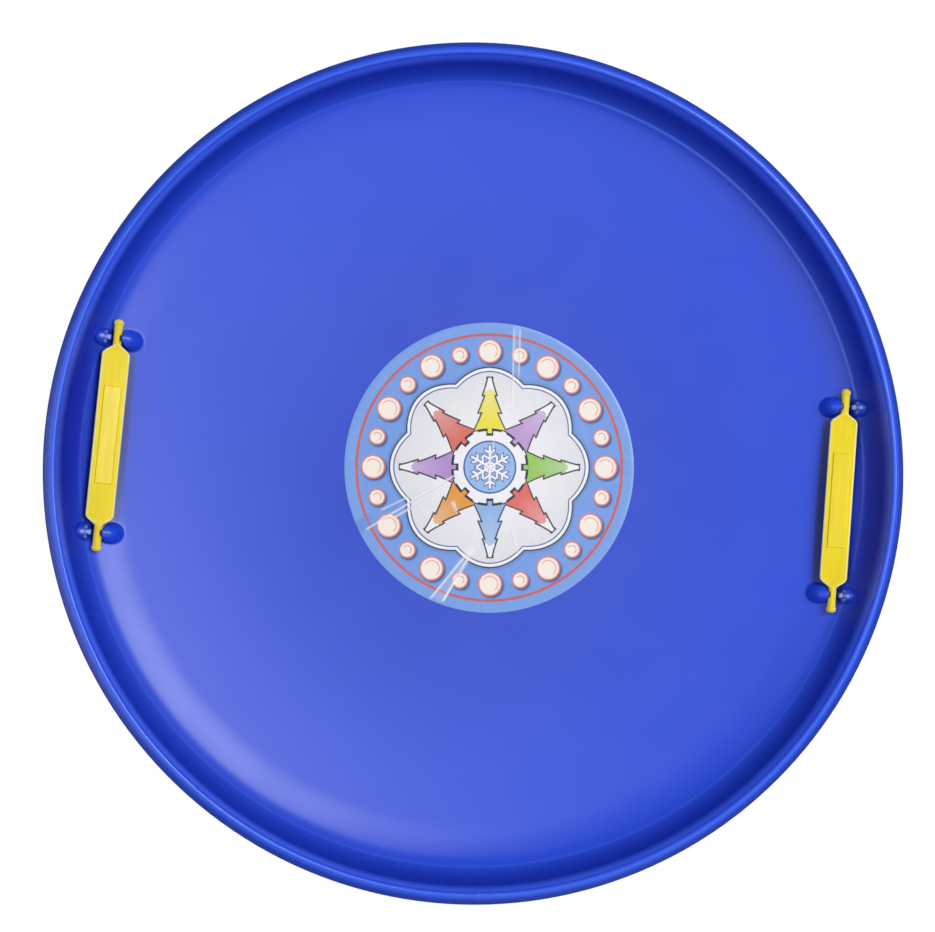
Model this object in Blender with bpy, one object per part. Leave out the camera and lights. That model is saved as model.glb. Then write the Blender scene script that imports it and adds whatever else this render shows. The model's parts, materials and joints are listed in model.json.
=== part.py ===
"""Saucer sled: a round moulded dish, two strap grips that snap into its bosses, and a label.

Metres, +Z up. The origin is under the middle of the dish, on the surface that the dish
rests on. The grips run along Y, one on each side of the dish along X.

The dish is one moulding of even wall: a small flat middle, a shallow floor, an apron, a
rounded foot, a steep side, a crest and a flange turned down outside. Four split bosses
are moulded into it. Each holds the round neck of a strap grip between a saddle below, a
lip inboard and a snap nose outboard, and the grip can rock about its two necks.
"""

import math

import bmesh
import bpy
from mathutils import Matrix

# Dish, driving sizes
RIM_DIAMETER = 0.660
DISH_DEPTH = 0.080
WALL = 0.0026
REST_FLAT_DIAMETER = 0.100

# Dish section, from the middle outwards
APRON_RADIUS = 0.115
FOOT_RADIUS = 0.030
SIDE_RISE = 0.0114
CREST_RADIUS = 0.005
FLANGE_DROP = 0.011
APRON_END_SLOPE = math.radians(28.0)
SIDE_SLOPE = math.radians(84.0)
FLANGE_SLOPE = math.radians(86.0)

# Strap grips
GRIP_INSET = 0.0402
GRIP_TILT = math.radians(18.0)
GRIP_BODY_LENGTH = 0.128
GRIP_WIDTH = 0.0211
GRIP_THICKNESS = 0.0040
GRIP_EDGE_ROUND = 0.0012
SHOULDER_ROUND = 0.0030
TAPER_LENGTH = 0.0063
NECK_DIAMETER = 0.0062
NECK_LENGTH = 0.0060
STEM_DIAMETER = 0.0066
STEM_LENGTH = 0.0105
HEAD_DIAMETER = 0.0078
HEAD_BACK = 0.0010
HEAD_NOSE = 0.0034
NECK_ROOT = 0.0030
NECK_TIP_SHARE = 0.8
PAD_LENGTH = 0.0768
PAD_WIDTH = 0.0137
PAD_RISE = 0.0008
PAD_SINK = 0.0010
PAD_EDGE_ROUND = 0.0005

# Bosses that hold the grips
BOSS_WIDTH = 0.0146
BOSS_INBOARD_REACH = 0.0178
BOSS_OUTBOARD_REACH = 0.0190
BOSS_WALL = 0.0020
BOSS_COVER = 0.0022
BOSS_LAP = 0.0020
SLOT_WIDTH = 0.0110
SLOT_THROAT_LENGTH = 0.0050
SLOT_SHOULDER_FLARE = math.radians(30.0)
SLOT_HEAD_FLARE = math.radians(12.0)
SLOT_OUTBOARD_FLARE = math.radians(12.0)
LIP_LENGTH = 0.0044
LIP_REACH = 0.0019
LIP_THICKNESS = 0.0018
LIP_TIP_SHARE = 0.3
SADDLE_LENGTH = 0.0036
SADDLE_WRAP = math.radians(50.0)
SNAP_SQUEEZE = 0.0004

# Label
LABEL_DIAMETER = 0.239
LABEL_OFFSET_X = 0.0113
LABEL_OFFSET_Y = 0.0041
LABEL_THICKNESS = 0.0003

# Fits
SEAT_GAP = 0.0003
RUNNING_GAP = 0.0005
OVERRUN = 0.010
JOIN_OVERLAP = 0.0010
MERGE_DISTANCE = 0.00001

# Fineness, as counts of steps
DISH_SIDES = 72
FLOOR_STEPS = 8
APRON_STEPS = 3
FOOT_STEPS = 6
CREST_STEPS = 6
UNDERSIDE_FLOOR_STEPS = 5
UNDERSIDE_CREST_STEPS = 4
BOSS_END_STEPS = 5
BOSS_SIDE_STEPS = 4
BOSS_RISE_STEPS = 5
SADDLE_STEPS = 6
PIN_SIDES = 16
HEAD_STEPS = 5
SHOULDER_STEPS = 4
LABEL_SIDES = 48
LABEL_RINGS = 6
BOSS_TOP_ANGLE = math.radians(78.0)
SMOOTH_ANGLE = math.radians(32.0)
BEVEL_ANGLE = math.radians(60.0)

# Sizes worked out from those above
RIM_RADIUS = RIM_DIAMETER / 2
REST_FLAT_RADIUS = REST_FLAT_DIAMETER / 2
NECK_RADIUS = NECK_DIAMETER / 2
STEM_RADIUS = STEM_DIAMETER / 2
HEAD_RADIUS = HEAD_DIAMETER / 2
SHOULDER_Y = GRIP_BODY_LENGTH / 2
NECK_START_Y = SHOULDER_Y + TAPER_LENGTH
NECK_END_Y = NECK_START_Y + NECK_LENGTH
HEAD_Y = NECK_END_Y + STEM_LENGTH
GRIP_X = RIM_RADIUS - GRIP_INSET
BOSS_Y = NECK_START_Y + BOSS_WIDTH / 2 - BOSS_LAP


def plan_floor_arc(apron_end_radius, apron_end_height):
    """Slope and bend with which the floor's arc, level at the flat middle, meets the apron.

    Two arcs that meet smoothly have their centres as far apart as their bends differ.
    """
    run = apron_end_radius - APRON_RADIUS * math.sin(APRON_END_SLOPE) - REST_FLAT_RADIUS
    rise = apron_end_height + APRON_RADIUS * math.cos(APRON_END_SLOPE) - WALL
    bend = (run**2 + rise**2 - APRON_RADIUS**2) / (2 * (rise - APRON_RADIUS))
    return math.asin(run / (bend - APRON_RADIUS)), bend


def plan_section():
    """Arcs of the dish's inner surface, as (radius, height, first slope, last slope, bend).

    Each arc starts at its radius and height. A positive bend curves upwards. The straight
    side and the straight flange run between the ends of the arcs.
    """
    crest_run = CREST_RADIUS * (math.sin(SIDE_SLOPE) + math.sin(FLANGE_SLOPE))
    flange_fall = FLANGE_DROP - CREST_RADIUS * (1 - math.cos(FLANGE_SLOPE))
    flange_run = flange_fall / math.tan(FLANGE_SLOPE)
    crest_radius = RIM_RADIUS - flange_run - crest_run
    crest_height = WALL + DISH_DEPTH - CREST_RADIUS * (1 - math.cos(SIDE_SLOPE))

    foot_run = FOOT_RADIUS * (math.sin(SIDE_SLOPE) - math.sin(APRON_END_SLOPE))
    foot_rise = FOOT_RADIUS * (math.cos(APRON_END_SLOPE) - math.cos(SIDE_SLOPE))
    foot_radius = crest_radius - SIDE_RISE / math.tan(SIDE_SLOPE) - foot_run
    foot_height = crest_height - SIDE_RISE - foot_rise

    slope, floor_bend = plan_floor_arc(foot_radius, foot_height)
    apron_radius = foot_radius - APRON_RADIUS * (math.sin(APRON_END_SLOPE) - math.sin(slope))
    apron_height = foot_height - APRON_RADIUS * (math.cos(slope) - math.cos(APRON_END_SLOPE))

    return {
        "floor": (REST_FLAT_RADIUS, WALL, 0.0, slope, floor_bend),
        "apron": (apron_radius, apron_height, slope, APRON_END_SLOPE, APRON_RADIUS),
        "foot": (foot_radius, foot_height, APRON_END_SLOPE, SIDE_SLOPE, FOOT_RADIUS),
        "crest": (crest_radius, crest_height, SIDE_SLOPE, -FLANGE_SLOPE, -CREST_RADIUS),
    }


SECTION = plan_section()


def arc_point(arc, slope):
    """Radius and height of the point of an arc where it has a given slope."""
    radius, height, first, _, bend = arc
    return (
        radius + bend * (math.sin(slope) - math.sin(first)),
        height - bend * (math.cos(slope) - math.cos(first)),
    )


def floor_at(x, y):
    """Height and slope of the dish's inner surface above the point x, y."""
    distance = math.hypot(x, y)
    if distance <= REST_FLAT_RADIUS:
        return WALL, 0.0
    for name in ("floor", "apron", "foot"):
        arc = SECTION[name]
        radius, _, first, last, bend = arc
        end_radius, _ = arc_point(arc, last)
        if distance <= end_radius:
            slope = math.asin(math.sin(first) + (distance - radius) / bend)
            return arc_point(arc, slope)[1], slope
    return arc_point(SECTION["foot"], SIDE_SLOPE)[1], SIDE_SLOPE


def plan_axis_height():
    """Height of the grip's rocking axis: its heads just clear the dish's floor."""
    height, slope = floor_at(GRIP_X, HEAD_Y)
    return height + (HEAD_RADIUS + RUNNING_GAP) / math.cos(slope)


AXIS_Z = plan_axis_height()
BOSS_FLOOR_Z = floor_at(GRIP_X, BOSS_Y)[0]
BOSS_BASE = BOSS_FLOOR_Z - AXIS_Z
BOSS_RIDGE = NECK_RADIUS + BOSS_COVER
BOSS_CROWN = BOSS_RIDGE - BOSS_BASE
SLOT_INBOARD_X = -(NECK_RADIUS + RUNNING_GAP)
SLOT_OUTBOARD_X = SLOT_INBOARD_X + SLOT_WIDTH
LIP_TIP_X = SLOT_INBOARD_X + LIP_REACH
NOSE_TIP_X = LIP_TIP_X + NECK_DIAMETER - SNAP_SQUEEZE
LIP_UNDERSIDE = math.sqrt((NECK_RADIUS + SEAT_GAP) ** 2 - LIP_TIP_X**2)


def clear_scene():
    """Removes every object, and the meshes and materials that they used."""
    for item in list(bpy.data.objects):
        bpy.data.objects.remove(item, do_unlink=True)
    for mesh in list(bpy.data.meshes):
        bpy.data.meshes.remove(mesh)
    for material in list(bpy.data.materials):
        bpy.data.materials.remove(material)


def make_material(name, colour, roughness):
    """A plain Principled material, for a plastic or a printed film."""
    material = bpy.data.materials.new(name)
    material.use_nodes = True
    shader = material.node_tree.nodes["Principled BSDF"]
    shader.inputs["Base Color"].default_value = (*colour, 1.0)
    shader.inputs["Roughness"].default_value = roughness
    shader.inputs["Metallic"].default_value = 0.0
    return material


def add_object(name, bm, material=None):
    """Puts a bmesh into a new object of the scene, shaded smooth but for its sharp edges."""
    mesh = bpy.data.meshes.new(name)
    bm.to_mesh(mesh)
    bm.free()
    if material:
        mesh.materials.append(material)
    mesh.shade_smooth()
    mesh.set_sharp_from_angle(angle=SMOOTH_ANGLE)
    item = bpy.data.objects.new(name, mesh)
    bpy.context.scene.collection.objects.link(item)
    return item


def hide_cutter(item):
    """Marks an object as a tool for a Boolean, not a piece of the sled."""
    item.display_type = "WIRE"
    item.hide_render = True


def combine(item, tool, operation):
    """Adds an exact Boolean of tool to item, and hides tool."""
    modifier = item.modifiers.new(f"{operation.lower()} {tool.name}", "BOOLEAN")
    modifier.operation = operation
    modifier.solver = "EXACT"
    modifier.object = tool
    hide_cutter(tool)


def baked_bmesh(item):
    """The item's mesh with its modifiers worked in, as a bmesh."""
    bm = bmesh.new()
    bm.from_object(item, bpy.context.evaluated_depsgraph_get())
    return bm


def loft(bm, rings):
    """Joins closed rings of equally many vertices by quads, and returns the rings' vertices."""
    loops = [[bm.verts.new(point) for point in ring] for ring in rings]
    count = len(loops[0])
    for lower, upper in zip(loops, loops[1:]):
        for i in range(count):
            j = (i + 1) % count
            bm.faces.new((lower[i], lower[j], upper[j], upper[i]))
    return loops


def prism(outline, low, high, axis):
    """A prism: outline is a list of pairs, and low and high are its ends along axis."""
    bm = bmesh.new()
    rings = []
    for level in (low, high):
        ring = []
        for a, b in outline:
            ring.append((a, level, b) if axis == "Y" else (a, b, level))
        rings.append(ring)
    loops = loft(bm, rings)
    bm.faces.new(loops[0])
    bm.faces.new(loops[1])
    bmesh.ops.recalc_face_normals(bm, faces=bm.faces)
    return bm


def section_line(floor_steps, crest_steps, offset):
    """Points of the dish's section, middle to flange end, moved below the surface by offset."""
    steps = {"floor": floor_steps, "apron": APRON_STEPS, "foot": FOOT_STEPS, "crest": crest_steps}
    line = [(0.0, WALL - offset)]
    for name, arc in SECTION.items():
        _, _, first, last, _ = arc
        for i in range(steps[name] + 1):
            slope = first + (last - first) * i / steps[name]
            radius, height = arc_point(arc, slope)
            point = (radius + offset * math.sin(slope), height - offset * math.cos(slope))
            if math.dist(point, line[-1]) > MERGE_DISTANCE:
                line.append(point)
    line.append((RIM_RADIUS - offset / math.sin(FLANGE_SLOPE), WALL + DISH_DEPTH - FLANGE_DROP))
    return line


def spin_section(line):
    """A closed solid of revolution: line runs from the axis out, round and back to it."""
    bm = bmesh.new()
    chain = [bm.verts.new((radius, 0.0, height)) for radius, height in line]
    edges = [bm.edges.new(pair) for pair in zip(chain, chain[1:])]
    bmesh.ops.spin(
        bm,
        geom=chain + edges,
        cent=(0.0, 0.0, 0.0),
        axis=(0.0, 0.0, 1.0),
        angle=math.tau,
        steps=DISH_SIDES,
        use_merge=True,
    )
    bmesh.ops.remove_doubles(bm, verts=bm.verts, dist=MERGE_DISTANCE)
    bmesh.ops.recalc_face_normals(bm, faces=bm.faces)
    return bm


def build_dish():
    """The dish without its bosses: its section, top side out and underside back, spun."""
    top = section_line(FLOOR_STEPS, CREST_STEPS, 0.0)
    under = section_line(UNDERSIDE_FLOOR_STEPS, UNDERSIDE_CREST_STEPS, WALL)
    return spin_section(top + under[::-1])


def build_space_below():
    """All that lies below the middle of the dish's wall, which trims the bosses' feet."""
    middle = section_line(FLOOR_STEPS, CREST_STEPS, WALL / 2)
    side_top = WALL + DISH_DEPTH - 2 * CREST_RADIUS
    line = [point for point in middle if point[1] < side_top]
    line += [(RIM_RADIUS, line[-1][1]), (RIM_RADIUS, -2 * OVERRUN), (0.0, -2 * OVERRUN)]
    return spin_section(line)


def boss_outline(radius):
    """Plan of a boss as pairs (x, y) from the neck's middle: two round ends and their sides.

    The ends turn about fixed centres, so that a smaller radius gives an even inset. The
    outline starts at the inboard tip, and its second half mirrors its first.
    """
    inboard = BOSS_WIDTH / 2 - BOSS_INBOARD_REACH
    outboard = BOSS_OUTBOARD_REACH - BOSS_WIDTH / 2
    half = []
    for i in range(BOSS_END_STEPS):
        angle = math.pi / 2 * i / BOSS_END_STEPS
        half.append((inboard - radius * math.cos(angle), radius * math.sin(angle)))
    for i in range(BOSS_SIDE_STEPS + 1):
        half.append((inboard + (outboard - inboard) * i / BOSS_SIDE_STEPS, radius))
    for i in range(1, BOSS_END_STEPS + 1):
        angle = math.pi / 2 * (1 - i / BOSS_END_STEPS)
        half.append((outboard + radius * math.cos(angle), radius * math.sin(angle)))
    return half + [(x, -y) for x, y in half[-2:0:-1]]


def close_across(bm, loop):
    """Closes a mirrored loop by strips from one side to the other."""
    count = len(loop)
    for i in range(count // 2):
        corners = (loop[i], loop[i + 1], loop[(count - i - 1) % count], loop[(count - i) % count])
        bm.faces.new(dict.fromkeys(corners))


def boss_dome(inset):
    """A boss's rounded body, inset from its outer face, with a foot straight down.

    Level rings close in towards the ridge as the sides of a half ellipse do, and all of
    them lean with the grip.
    """
    half_width = BOSS_WIDTH / 2 - inset
    crown = BOSS_CROWN - inset
    rings = [[(x, y, -AXIS_Z - OVERRUN) for x, y in boss_outline(half_width)]]
    for i in range(BOSS_RISE_STEPS + 1):
        angle = BOSS_TOP_ANGLE * i / BOSS_RISE_STEPS
        ring = []
        for x, y in boss_outline(half_width * math.cos(angle)):
            lean = x * math.tan(GRIP_TILT)
            ring.append((x, y, BOSS_BASE + lean + crown * math.sin(angle) / math.sin(BOSS_TOP_ANGLE)))
        rings.append(ring)
    bm = bmesh.new()
    loops = loft(bm, rings)
    close_across(bm, loops[0])
    close_across(bm, loops[-1])
    bmesh.ops.recalc_face_normals(bm, faces=bm.faces)
    return bm


def slot_cutter(widening):
    """The slot that splits a boss, as a waisted prism, wider on each side by widening.

    It opens wider towards the grip's shoulder, which lies towards -Y, than towards its head.
    """
    throat = SLOT_THROAT_LENGTH / 2
    end = BOSS_WIDTH / 2 + OVERRUN
    inboard = SLOT_INBOARD_X - widening
    outboard = SLOT_OUTBOARD_X + widening
    outboard_end = outboard + (end - throat) * math.tan(SLOT_OUTBOARD_FLARE)
    outline = [
        (inboard - (end - throat) * math.tan(SLOT_SHOULDER_FLARE), -end),
        (outboard_end, -end),
        (outboard, -throat),
        (outboard, throat),
        (outboard_end, end),
        (inboard - (end - throat) * math.tan(SLOT_HEAD_FLARE), end),
        (inboard, throat),
        (inboard, -throat),
    ]
    return prism(outline, -AXIS_Z - 2 * OVERRUN, BOSS_RIDGE + OVERRUN, "Z")


def lip_outline(wall_x, tip_x):
    """Section of a snap lip, from inside its slot wall to its thin tip."""
    root_x = wall_x + math.copysign(JOIN_OVERLAP, wall_x)
    top = LIP_UNDERSIDE + LIP_THICKNESS
    tip_top = LIP_UNDERSIDE + LIP_THICKNESS * LIP_TIP_SHARE
    return [(root_x, LIP_UNDERSIDE), (tip_x, LIP_UNDERSIDE), (tip_x, tip_top), (wall_x, top), (root_x, top)]


def saddle_outline():
    """Section of the saddle under the neck: a block with a round seat."""
    seat = NECK_RADIUS + SEAT_GAP
    shelf_z = -seat * math.cos(SADDLE_WRAP)
    inboard = SLOT_INBOARD_X - JOIN_OVERLAP
    outboard = SLOT_OUTBOARD_X + JOIN_OVERLAP
    low = -AXIS_Z - OVERRUN
    outline = [(inboard, shelf_z), (inboard, low), (outboard, low), (outboard, shelf_z)]
    for i in range(SADDLE_STEPS + 1):
        angle = SADDLE_WRAP * (1 - 2 * i / SADDLE_STEPS)
        outline.append((seat * math.sin(angle), -seat * math.cos(angle)))
    return outline


def build_boss():
    """One split boss with its saddle, lip and snap nose, at the neck's middle."""
    boss = add_object("boss", boss_dome(0.0))
    combine(boss, add_object("boss_slot", slot_cutter(0.0)), "DIFFERENCE")
    lip = prism(lip_outline(SLOT_INBOARD_X, LIP_TIP_X), -LIP_LENGTH / 2, LIP_LENGTH / 2, "Y")
    combine(boss, add_object("boss_lip", lip), "UNION")
    nose = prism(lip_outline(SLOT_OUTBOARD_X, NOSE_TIP_X), -LIP_LENGTH / 2, LIP_LENGTH / 2, "Y")
    combine(boss, add_object("boss_nose", nose), "UNION")
    saddle = prism(saddle_outline(), -SADDLE_LENGTH / 2, SADDLE_LENGTH / 2, "Y")
    combine(boss, add_object("boss_saddle", saddle), "UNION")
    hide_cutter(boss)
    return boss


def build_boss_hollow():
    """The two hollows under one boss, which keep its wall even."""
    hollow = add_object("boss_hollow", boss_dome(BOSS_WALL))
    combine(hollow, add_object("hollow_web", slot_cutter(BOSS_WALL)), "DIFFERENCE")
    hide_cutter(hollow)
    return hollow


def place_four(item):
    """The item's baked mesh at all four boss places, as one bmesh."""
    master = baked_bmesh(item)
    mesh = bpy.data.meshes.new(item.name)
    placed = bmesh.new()
    for half_turn in (0.0, math.pi):
        for side in (1.0, -1.0):
            copy = master.copy()
            place = Matrix.Translation((GRIP_X, side * BOSS_Y, AXIS_Z))
            mirror = Matrix.Diagonal((1.0, side, 1.0, 1.0))
            copy.transform(Matrix.Rotation(half_turn, 4, "Z") @ place @ mirror)
            copy.to_mesh(mesh)
            placed.from_mesh(mesh)
            copy.free()
    master.free()
    bmesh.ops.recalc_face_normals(placed, faces=placed.faces)
    return placed


def build_saucer_shell(material):
    """The dish with its four bosses, hollow beneath, as one moulding."""
    shell = add_object("saucer_shell", build_dish(), material)
    bosses = add_object("bosses", place_four(build_boss()))
    hollows = add_object("boss_hollows", place_four(build_boss_hollow()))
    combine(bosses, add_object("space_below", build_space_below()), "DIFFERENCE")
    combine(shell, bosses, "UNION")
    combine(shell, hollows, "DIFFERENCE")
    return shell


def grip_outline():
    """Plan of a grip's flat body, with rounded shoulders and tapered ends, as pairs (x, y)."""
    half_width = GRIP_WIDTH / 2
    neck = NECK_RADIUS * NECK_TIP_SHARE
    taper = math.atan2(half_width - neck, TAPER_LENGTH)
    trim = SHOULDER_ROUND * math.tan(taper / 2)
    quarter = [(half_width, SHOULDER_Y - trim)]
    centre = (half_width - SHOULDER_ROUND, SHOULDER_Y - trim)
    for i in range(1, SHOULDER_STEPS + 1):
        angle = taper * i / SHOULDER_STEPS
        quarter.append(
            (centre[0] + SHOULDER_ROUND * math.cos(angle), centre[1] + SHOULDER_ROUND * math.sin(angle))
        )
    quarter.append((neck, NECK_START_Y))
    upper = quarter + [(-x, y) for x, y in quarter[::-1]]
    return upper + [(-x, -y) for x, y in upper]


def bevel_edges(item, width, segments):
    """Rounds the item's sharp edges."""
    modifier = item.modifiers.new("edge round", "BEVEL")
    modifier.width = width
    modifier.segments = segments
    modifier.limit_method = "ANGLE"
    modifier.angle_limit = BEVEL_ANGLE


def build_pin(side):
    """A grip's round neck, stem and button head, along Y on one side."""
    line = [
        (NECK_START_Y - NECK_ROOT, NECK_RADIUS * NECK_TIP_SHARE),
        (NECK_START_Y, NECK_RADIUS),
        (NECK_END_Y, NECK_RADIUS),
        (HEAD_Y - HEAD_BACK, STEM_RADIUS),
    ]
    for i in range(HEAD_STEPS):
        angle = math.pi / 2 * i / HEAD_STEPS
        line.append((HEAD_Y + HEAD_NOSE * math.sin(angle), HEAD_RADIUS * math.cos(angle)))
    bm = bmesh.new()
    rings = []
    for y, radius in line:
        turns = [math.tau * k / PIN_SIDES for k in range(PIN_SIDES)]
        rings.append([(radius * math.cos(turn), side * y, radius * math.sin(turn)) for turn in turns])
    loops = loft(bm, rings)
    bm.faces.new(loops[0])
    tip = bm.verts.new((0.0, side * (HEAD_Y + HEAD_NOSE), 0.0))
    for i in range(PIN_SIDES):
        bm.faces.new((loops[-1][i], loops[-1][(i + 1) % PIN_SIDES], tip))
    bmesh.ops.recalc_face_normals(bm, faces=bm.faces)
    return bm


def build_pad():
    """The raised pad along the middle of a grip, as a block sunk into its top."""
    x = PAD_WIDTH / 2
    y = PAD_LENGTH / 2
    top = GRIP_THICKNESS / 2
    return prism([(-x, -y), (x, -y), (x, y), (-x, y)], top - PAD_SINK, top + PAD_RISE, "Z")


def build_grip_mesh():
    """One strap grip's mesh, flat, with its rocking axis along Y through the origin."""
    body = add_object("grip_body", prism(grip_outline(), -GRIP_THICKNESS / 2, GRIP_THICKNESS / 2, "Z"))
    bevel_edges(body, GRIP_EDGE_ROUND, 2)
    pad = add_object("grip_pad", build_pad())
    bevel_edges(pad, PAD_EDGE_ROUND, 1)
    combine(body, pad, "UNION")
    for name, side in (("pin_far", 1.0), ("pin_near", -1.0)):
        combine(body, add_object(name, build_pin(side)), "UNION")
    hide_cutter(body)
    mesh = bpy.data.meshes.new("strap_grip")
    bm = baked_bmesh(body)
    bm.to_mesh(mesh)
    bm.free()
    mesh.shade_smooth()
    mesh.set_sharp_from_angle(angle=SMOOTH_ANGLE)
    return mesh


def build_grips(material):
    """Both strap grips, each turned to its side of the dish and tilted with its floor."""
    mesh = build_grip_mesh()
    mesh.materials.append(material)
    for name, half_turn in (("handle_right", 0.0), ("handle_left", math.pi)):
        grip = bpy.data.objects.new(name, mesh)
        grip.location = (GRIP_X * math.cos(half_turn), 0.0, AXIS_Z)
        grip.rotation_euler = (0.0, -GRIP_TILT, half_turn)
        bpy.context.scene.collection.objects.link(grip)


def build_round_label(material):
    """The label: a thin round sheet that follows the dish's floor."""
    bm = bmesh.new()
    sheets = []
    for lift in (SEAT_GAP + LABEL_THICKNESS, SEAT_GAP):
        centre_z = floor_at(LABEL_OFFSET_X, LABEL_OFFSET_Y)[0] + lift
        centre = bm.verts.new((LABEL_OFFSET_X, LABEL_OFFSET_Y, centre_z))
        rings = []
        for i in range(1, LABEL_RINGS + 1):
            radius = LABEL_DIAMETER / 2 * i / LABEL_RINGS
            ring = []
            for k in range(LABEL_SIDES):
                turn = math.tau * k / LABEL_SIDES
                x = LABEL_OFFSET_X + radius * math.cos(turn)
                y = LABEL_OFFSET_Y + radius * math.sin(turn)
                ring.append((x, y, floor_at(x, y)[0] + lift))
            rings.append(ring)
        loops = loft(bm, rings)
        for k in range(LABEL_SIDES):
            bm.faces.new((centre, loops[0][k], loops[0][(k + 1) % LABEL_SIDES]))
        sheets.append(loops)
    top, under = sheets[0][-1], sheets[1][-1]
    for k in range(LABEL_SIDES):
        j = (k + 1) % LABEL_SIDES
        bm.faces.new((top[k], top[j], under[j], under[k]))
    bmesh.ops.recalc_face_normals(bm, faces=bm.faces)
    return add_object("round_label", bm, material)


def main():
    """Builds the sled's four pieces."""
    clear_scene()
    blue = make_material("blue_polyethylene", (0.045, 0.095, 0.68), 0.35)
    yellow = make_material("yellow_polyethylene", (0.88, 0.66, 0.02), 0.38)
    print_film = make_material("label_film", (0.30, 0.50, 0.80), 0.30)
    build_saucer_shell(blue)
    build_grips(yellow)
    build_round_label(print_film)


main()
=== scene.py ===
"""Looks of a round saucer sled: a blue moulded dish, two yellow strap grips and a round label.

Metres, +Z up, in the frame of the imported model. The dish is one closed surface whose section
is spun a quarter of the way round and mirrored. Each half of each boss is a patch of that same
surface, which starts at the edge of a window in the dish's grid, runs in along straight rays
and rises over the dome. The grips are one section carried from tip to tip.
"""

import json
import logging
import math
from dataclasses import dataclass
from enum import Enum
from functools import cached_property

import bmesh
import bpy
import numpy as np
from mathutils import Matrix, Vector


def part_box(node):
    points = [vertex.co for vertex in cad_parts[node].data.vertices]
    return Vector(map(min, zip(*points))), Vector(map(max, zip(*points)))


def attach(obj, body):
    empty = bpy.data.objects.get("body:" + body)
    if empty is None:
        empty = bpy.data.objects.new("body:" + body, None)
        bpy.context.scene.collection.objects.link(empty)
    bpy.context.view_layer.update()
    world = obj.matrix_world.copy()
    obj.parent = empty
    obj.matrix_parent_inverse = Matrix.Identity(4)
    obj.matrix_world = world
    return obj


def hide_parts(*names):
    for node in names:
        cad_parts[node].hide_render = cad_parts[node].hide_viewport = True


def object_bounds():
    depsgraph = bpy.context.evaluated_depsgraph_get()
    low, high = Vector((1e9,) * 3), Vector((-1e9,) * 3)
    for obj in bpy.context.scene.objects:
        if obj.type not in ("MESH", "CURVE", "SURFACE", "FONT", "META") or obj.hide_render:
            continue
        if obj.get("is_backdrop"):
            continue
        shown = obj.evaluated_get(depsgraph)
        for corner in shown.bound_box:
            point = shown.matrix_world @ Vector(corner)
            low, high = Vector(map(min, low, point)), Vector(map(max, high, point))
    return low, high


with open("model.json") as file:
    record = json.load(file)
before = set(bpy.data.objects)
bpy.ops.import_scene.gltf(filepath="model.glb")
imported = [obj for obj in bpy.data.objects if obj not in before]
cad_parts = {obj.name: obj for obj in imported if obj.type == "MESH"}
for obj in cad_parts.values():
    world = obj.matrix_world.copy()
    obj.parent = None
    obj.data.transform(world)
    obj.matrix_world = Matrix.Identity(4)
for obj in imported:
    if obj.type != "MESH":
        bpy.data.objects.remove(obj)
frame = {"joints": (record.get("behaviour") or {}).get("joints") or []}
CAD_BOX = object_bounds()

MM = 0.001
Colour = tuple[float, float, float]
Span = tuple[float, float]
Value = float | np.ndarray

log = logging.getLogger("saucer_sled")


def srgb(red: int, green: int, blue: int) -> Colour:
    """Scene colour of an 8-bit display colour.

    Args:
        red, green, blue: Display values, 0 to 255.

    Returns:
        The three linear values, by the usual display curve.
    """
    shares = [value / 255 for value in (red, green, blue)]
    return tuple(c / 12.92 if c <= 0.04045 else ((c + 0.055) / 1.055) ** 2.4 for c in shares)


def smooth_min(a: Value, b: Value, reach: float) -> Value:
    """The smaller of two values, rounded by a parabola where they are within reach of each other."""
    near = np.maximum(reach - np.abs(a - b), 0.0) / reach
    return np.minimum(a, b) - near * near * reach / 4


def smooth_max(a: Value, b: Value, reach: float) -> Value:
    """The larger of two values, rounded by a parabola where they are within reach of each other."""
    return -smooth_min(-a, -b, reach)


def smooth_step(value: Value, start: float, end: float) -> Value:
    """0 before start, 1 after end, and 3t^2 - 2t^3 between them."""
    t = np.clip((value - start) / (end - start), 0.0, 1.0)
    return t * t * (3 - 2 * t)


# Meshes


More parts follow.
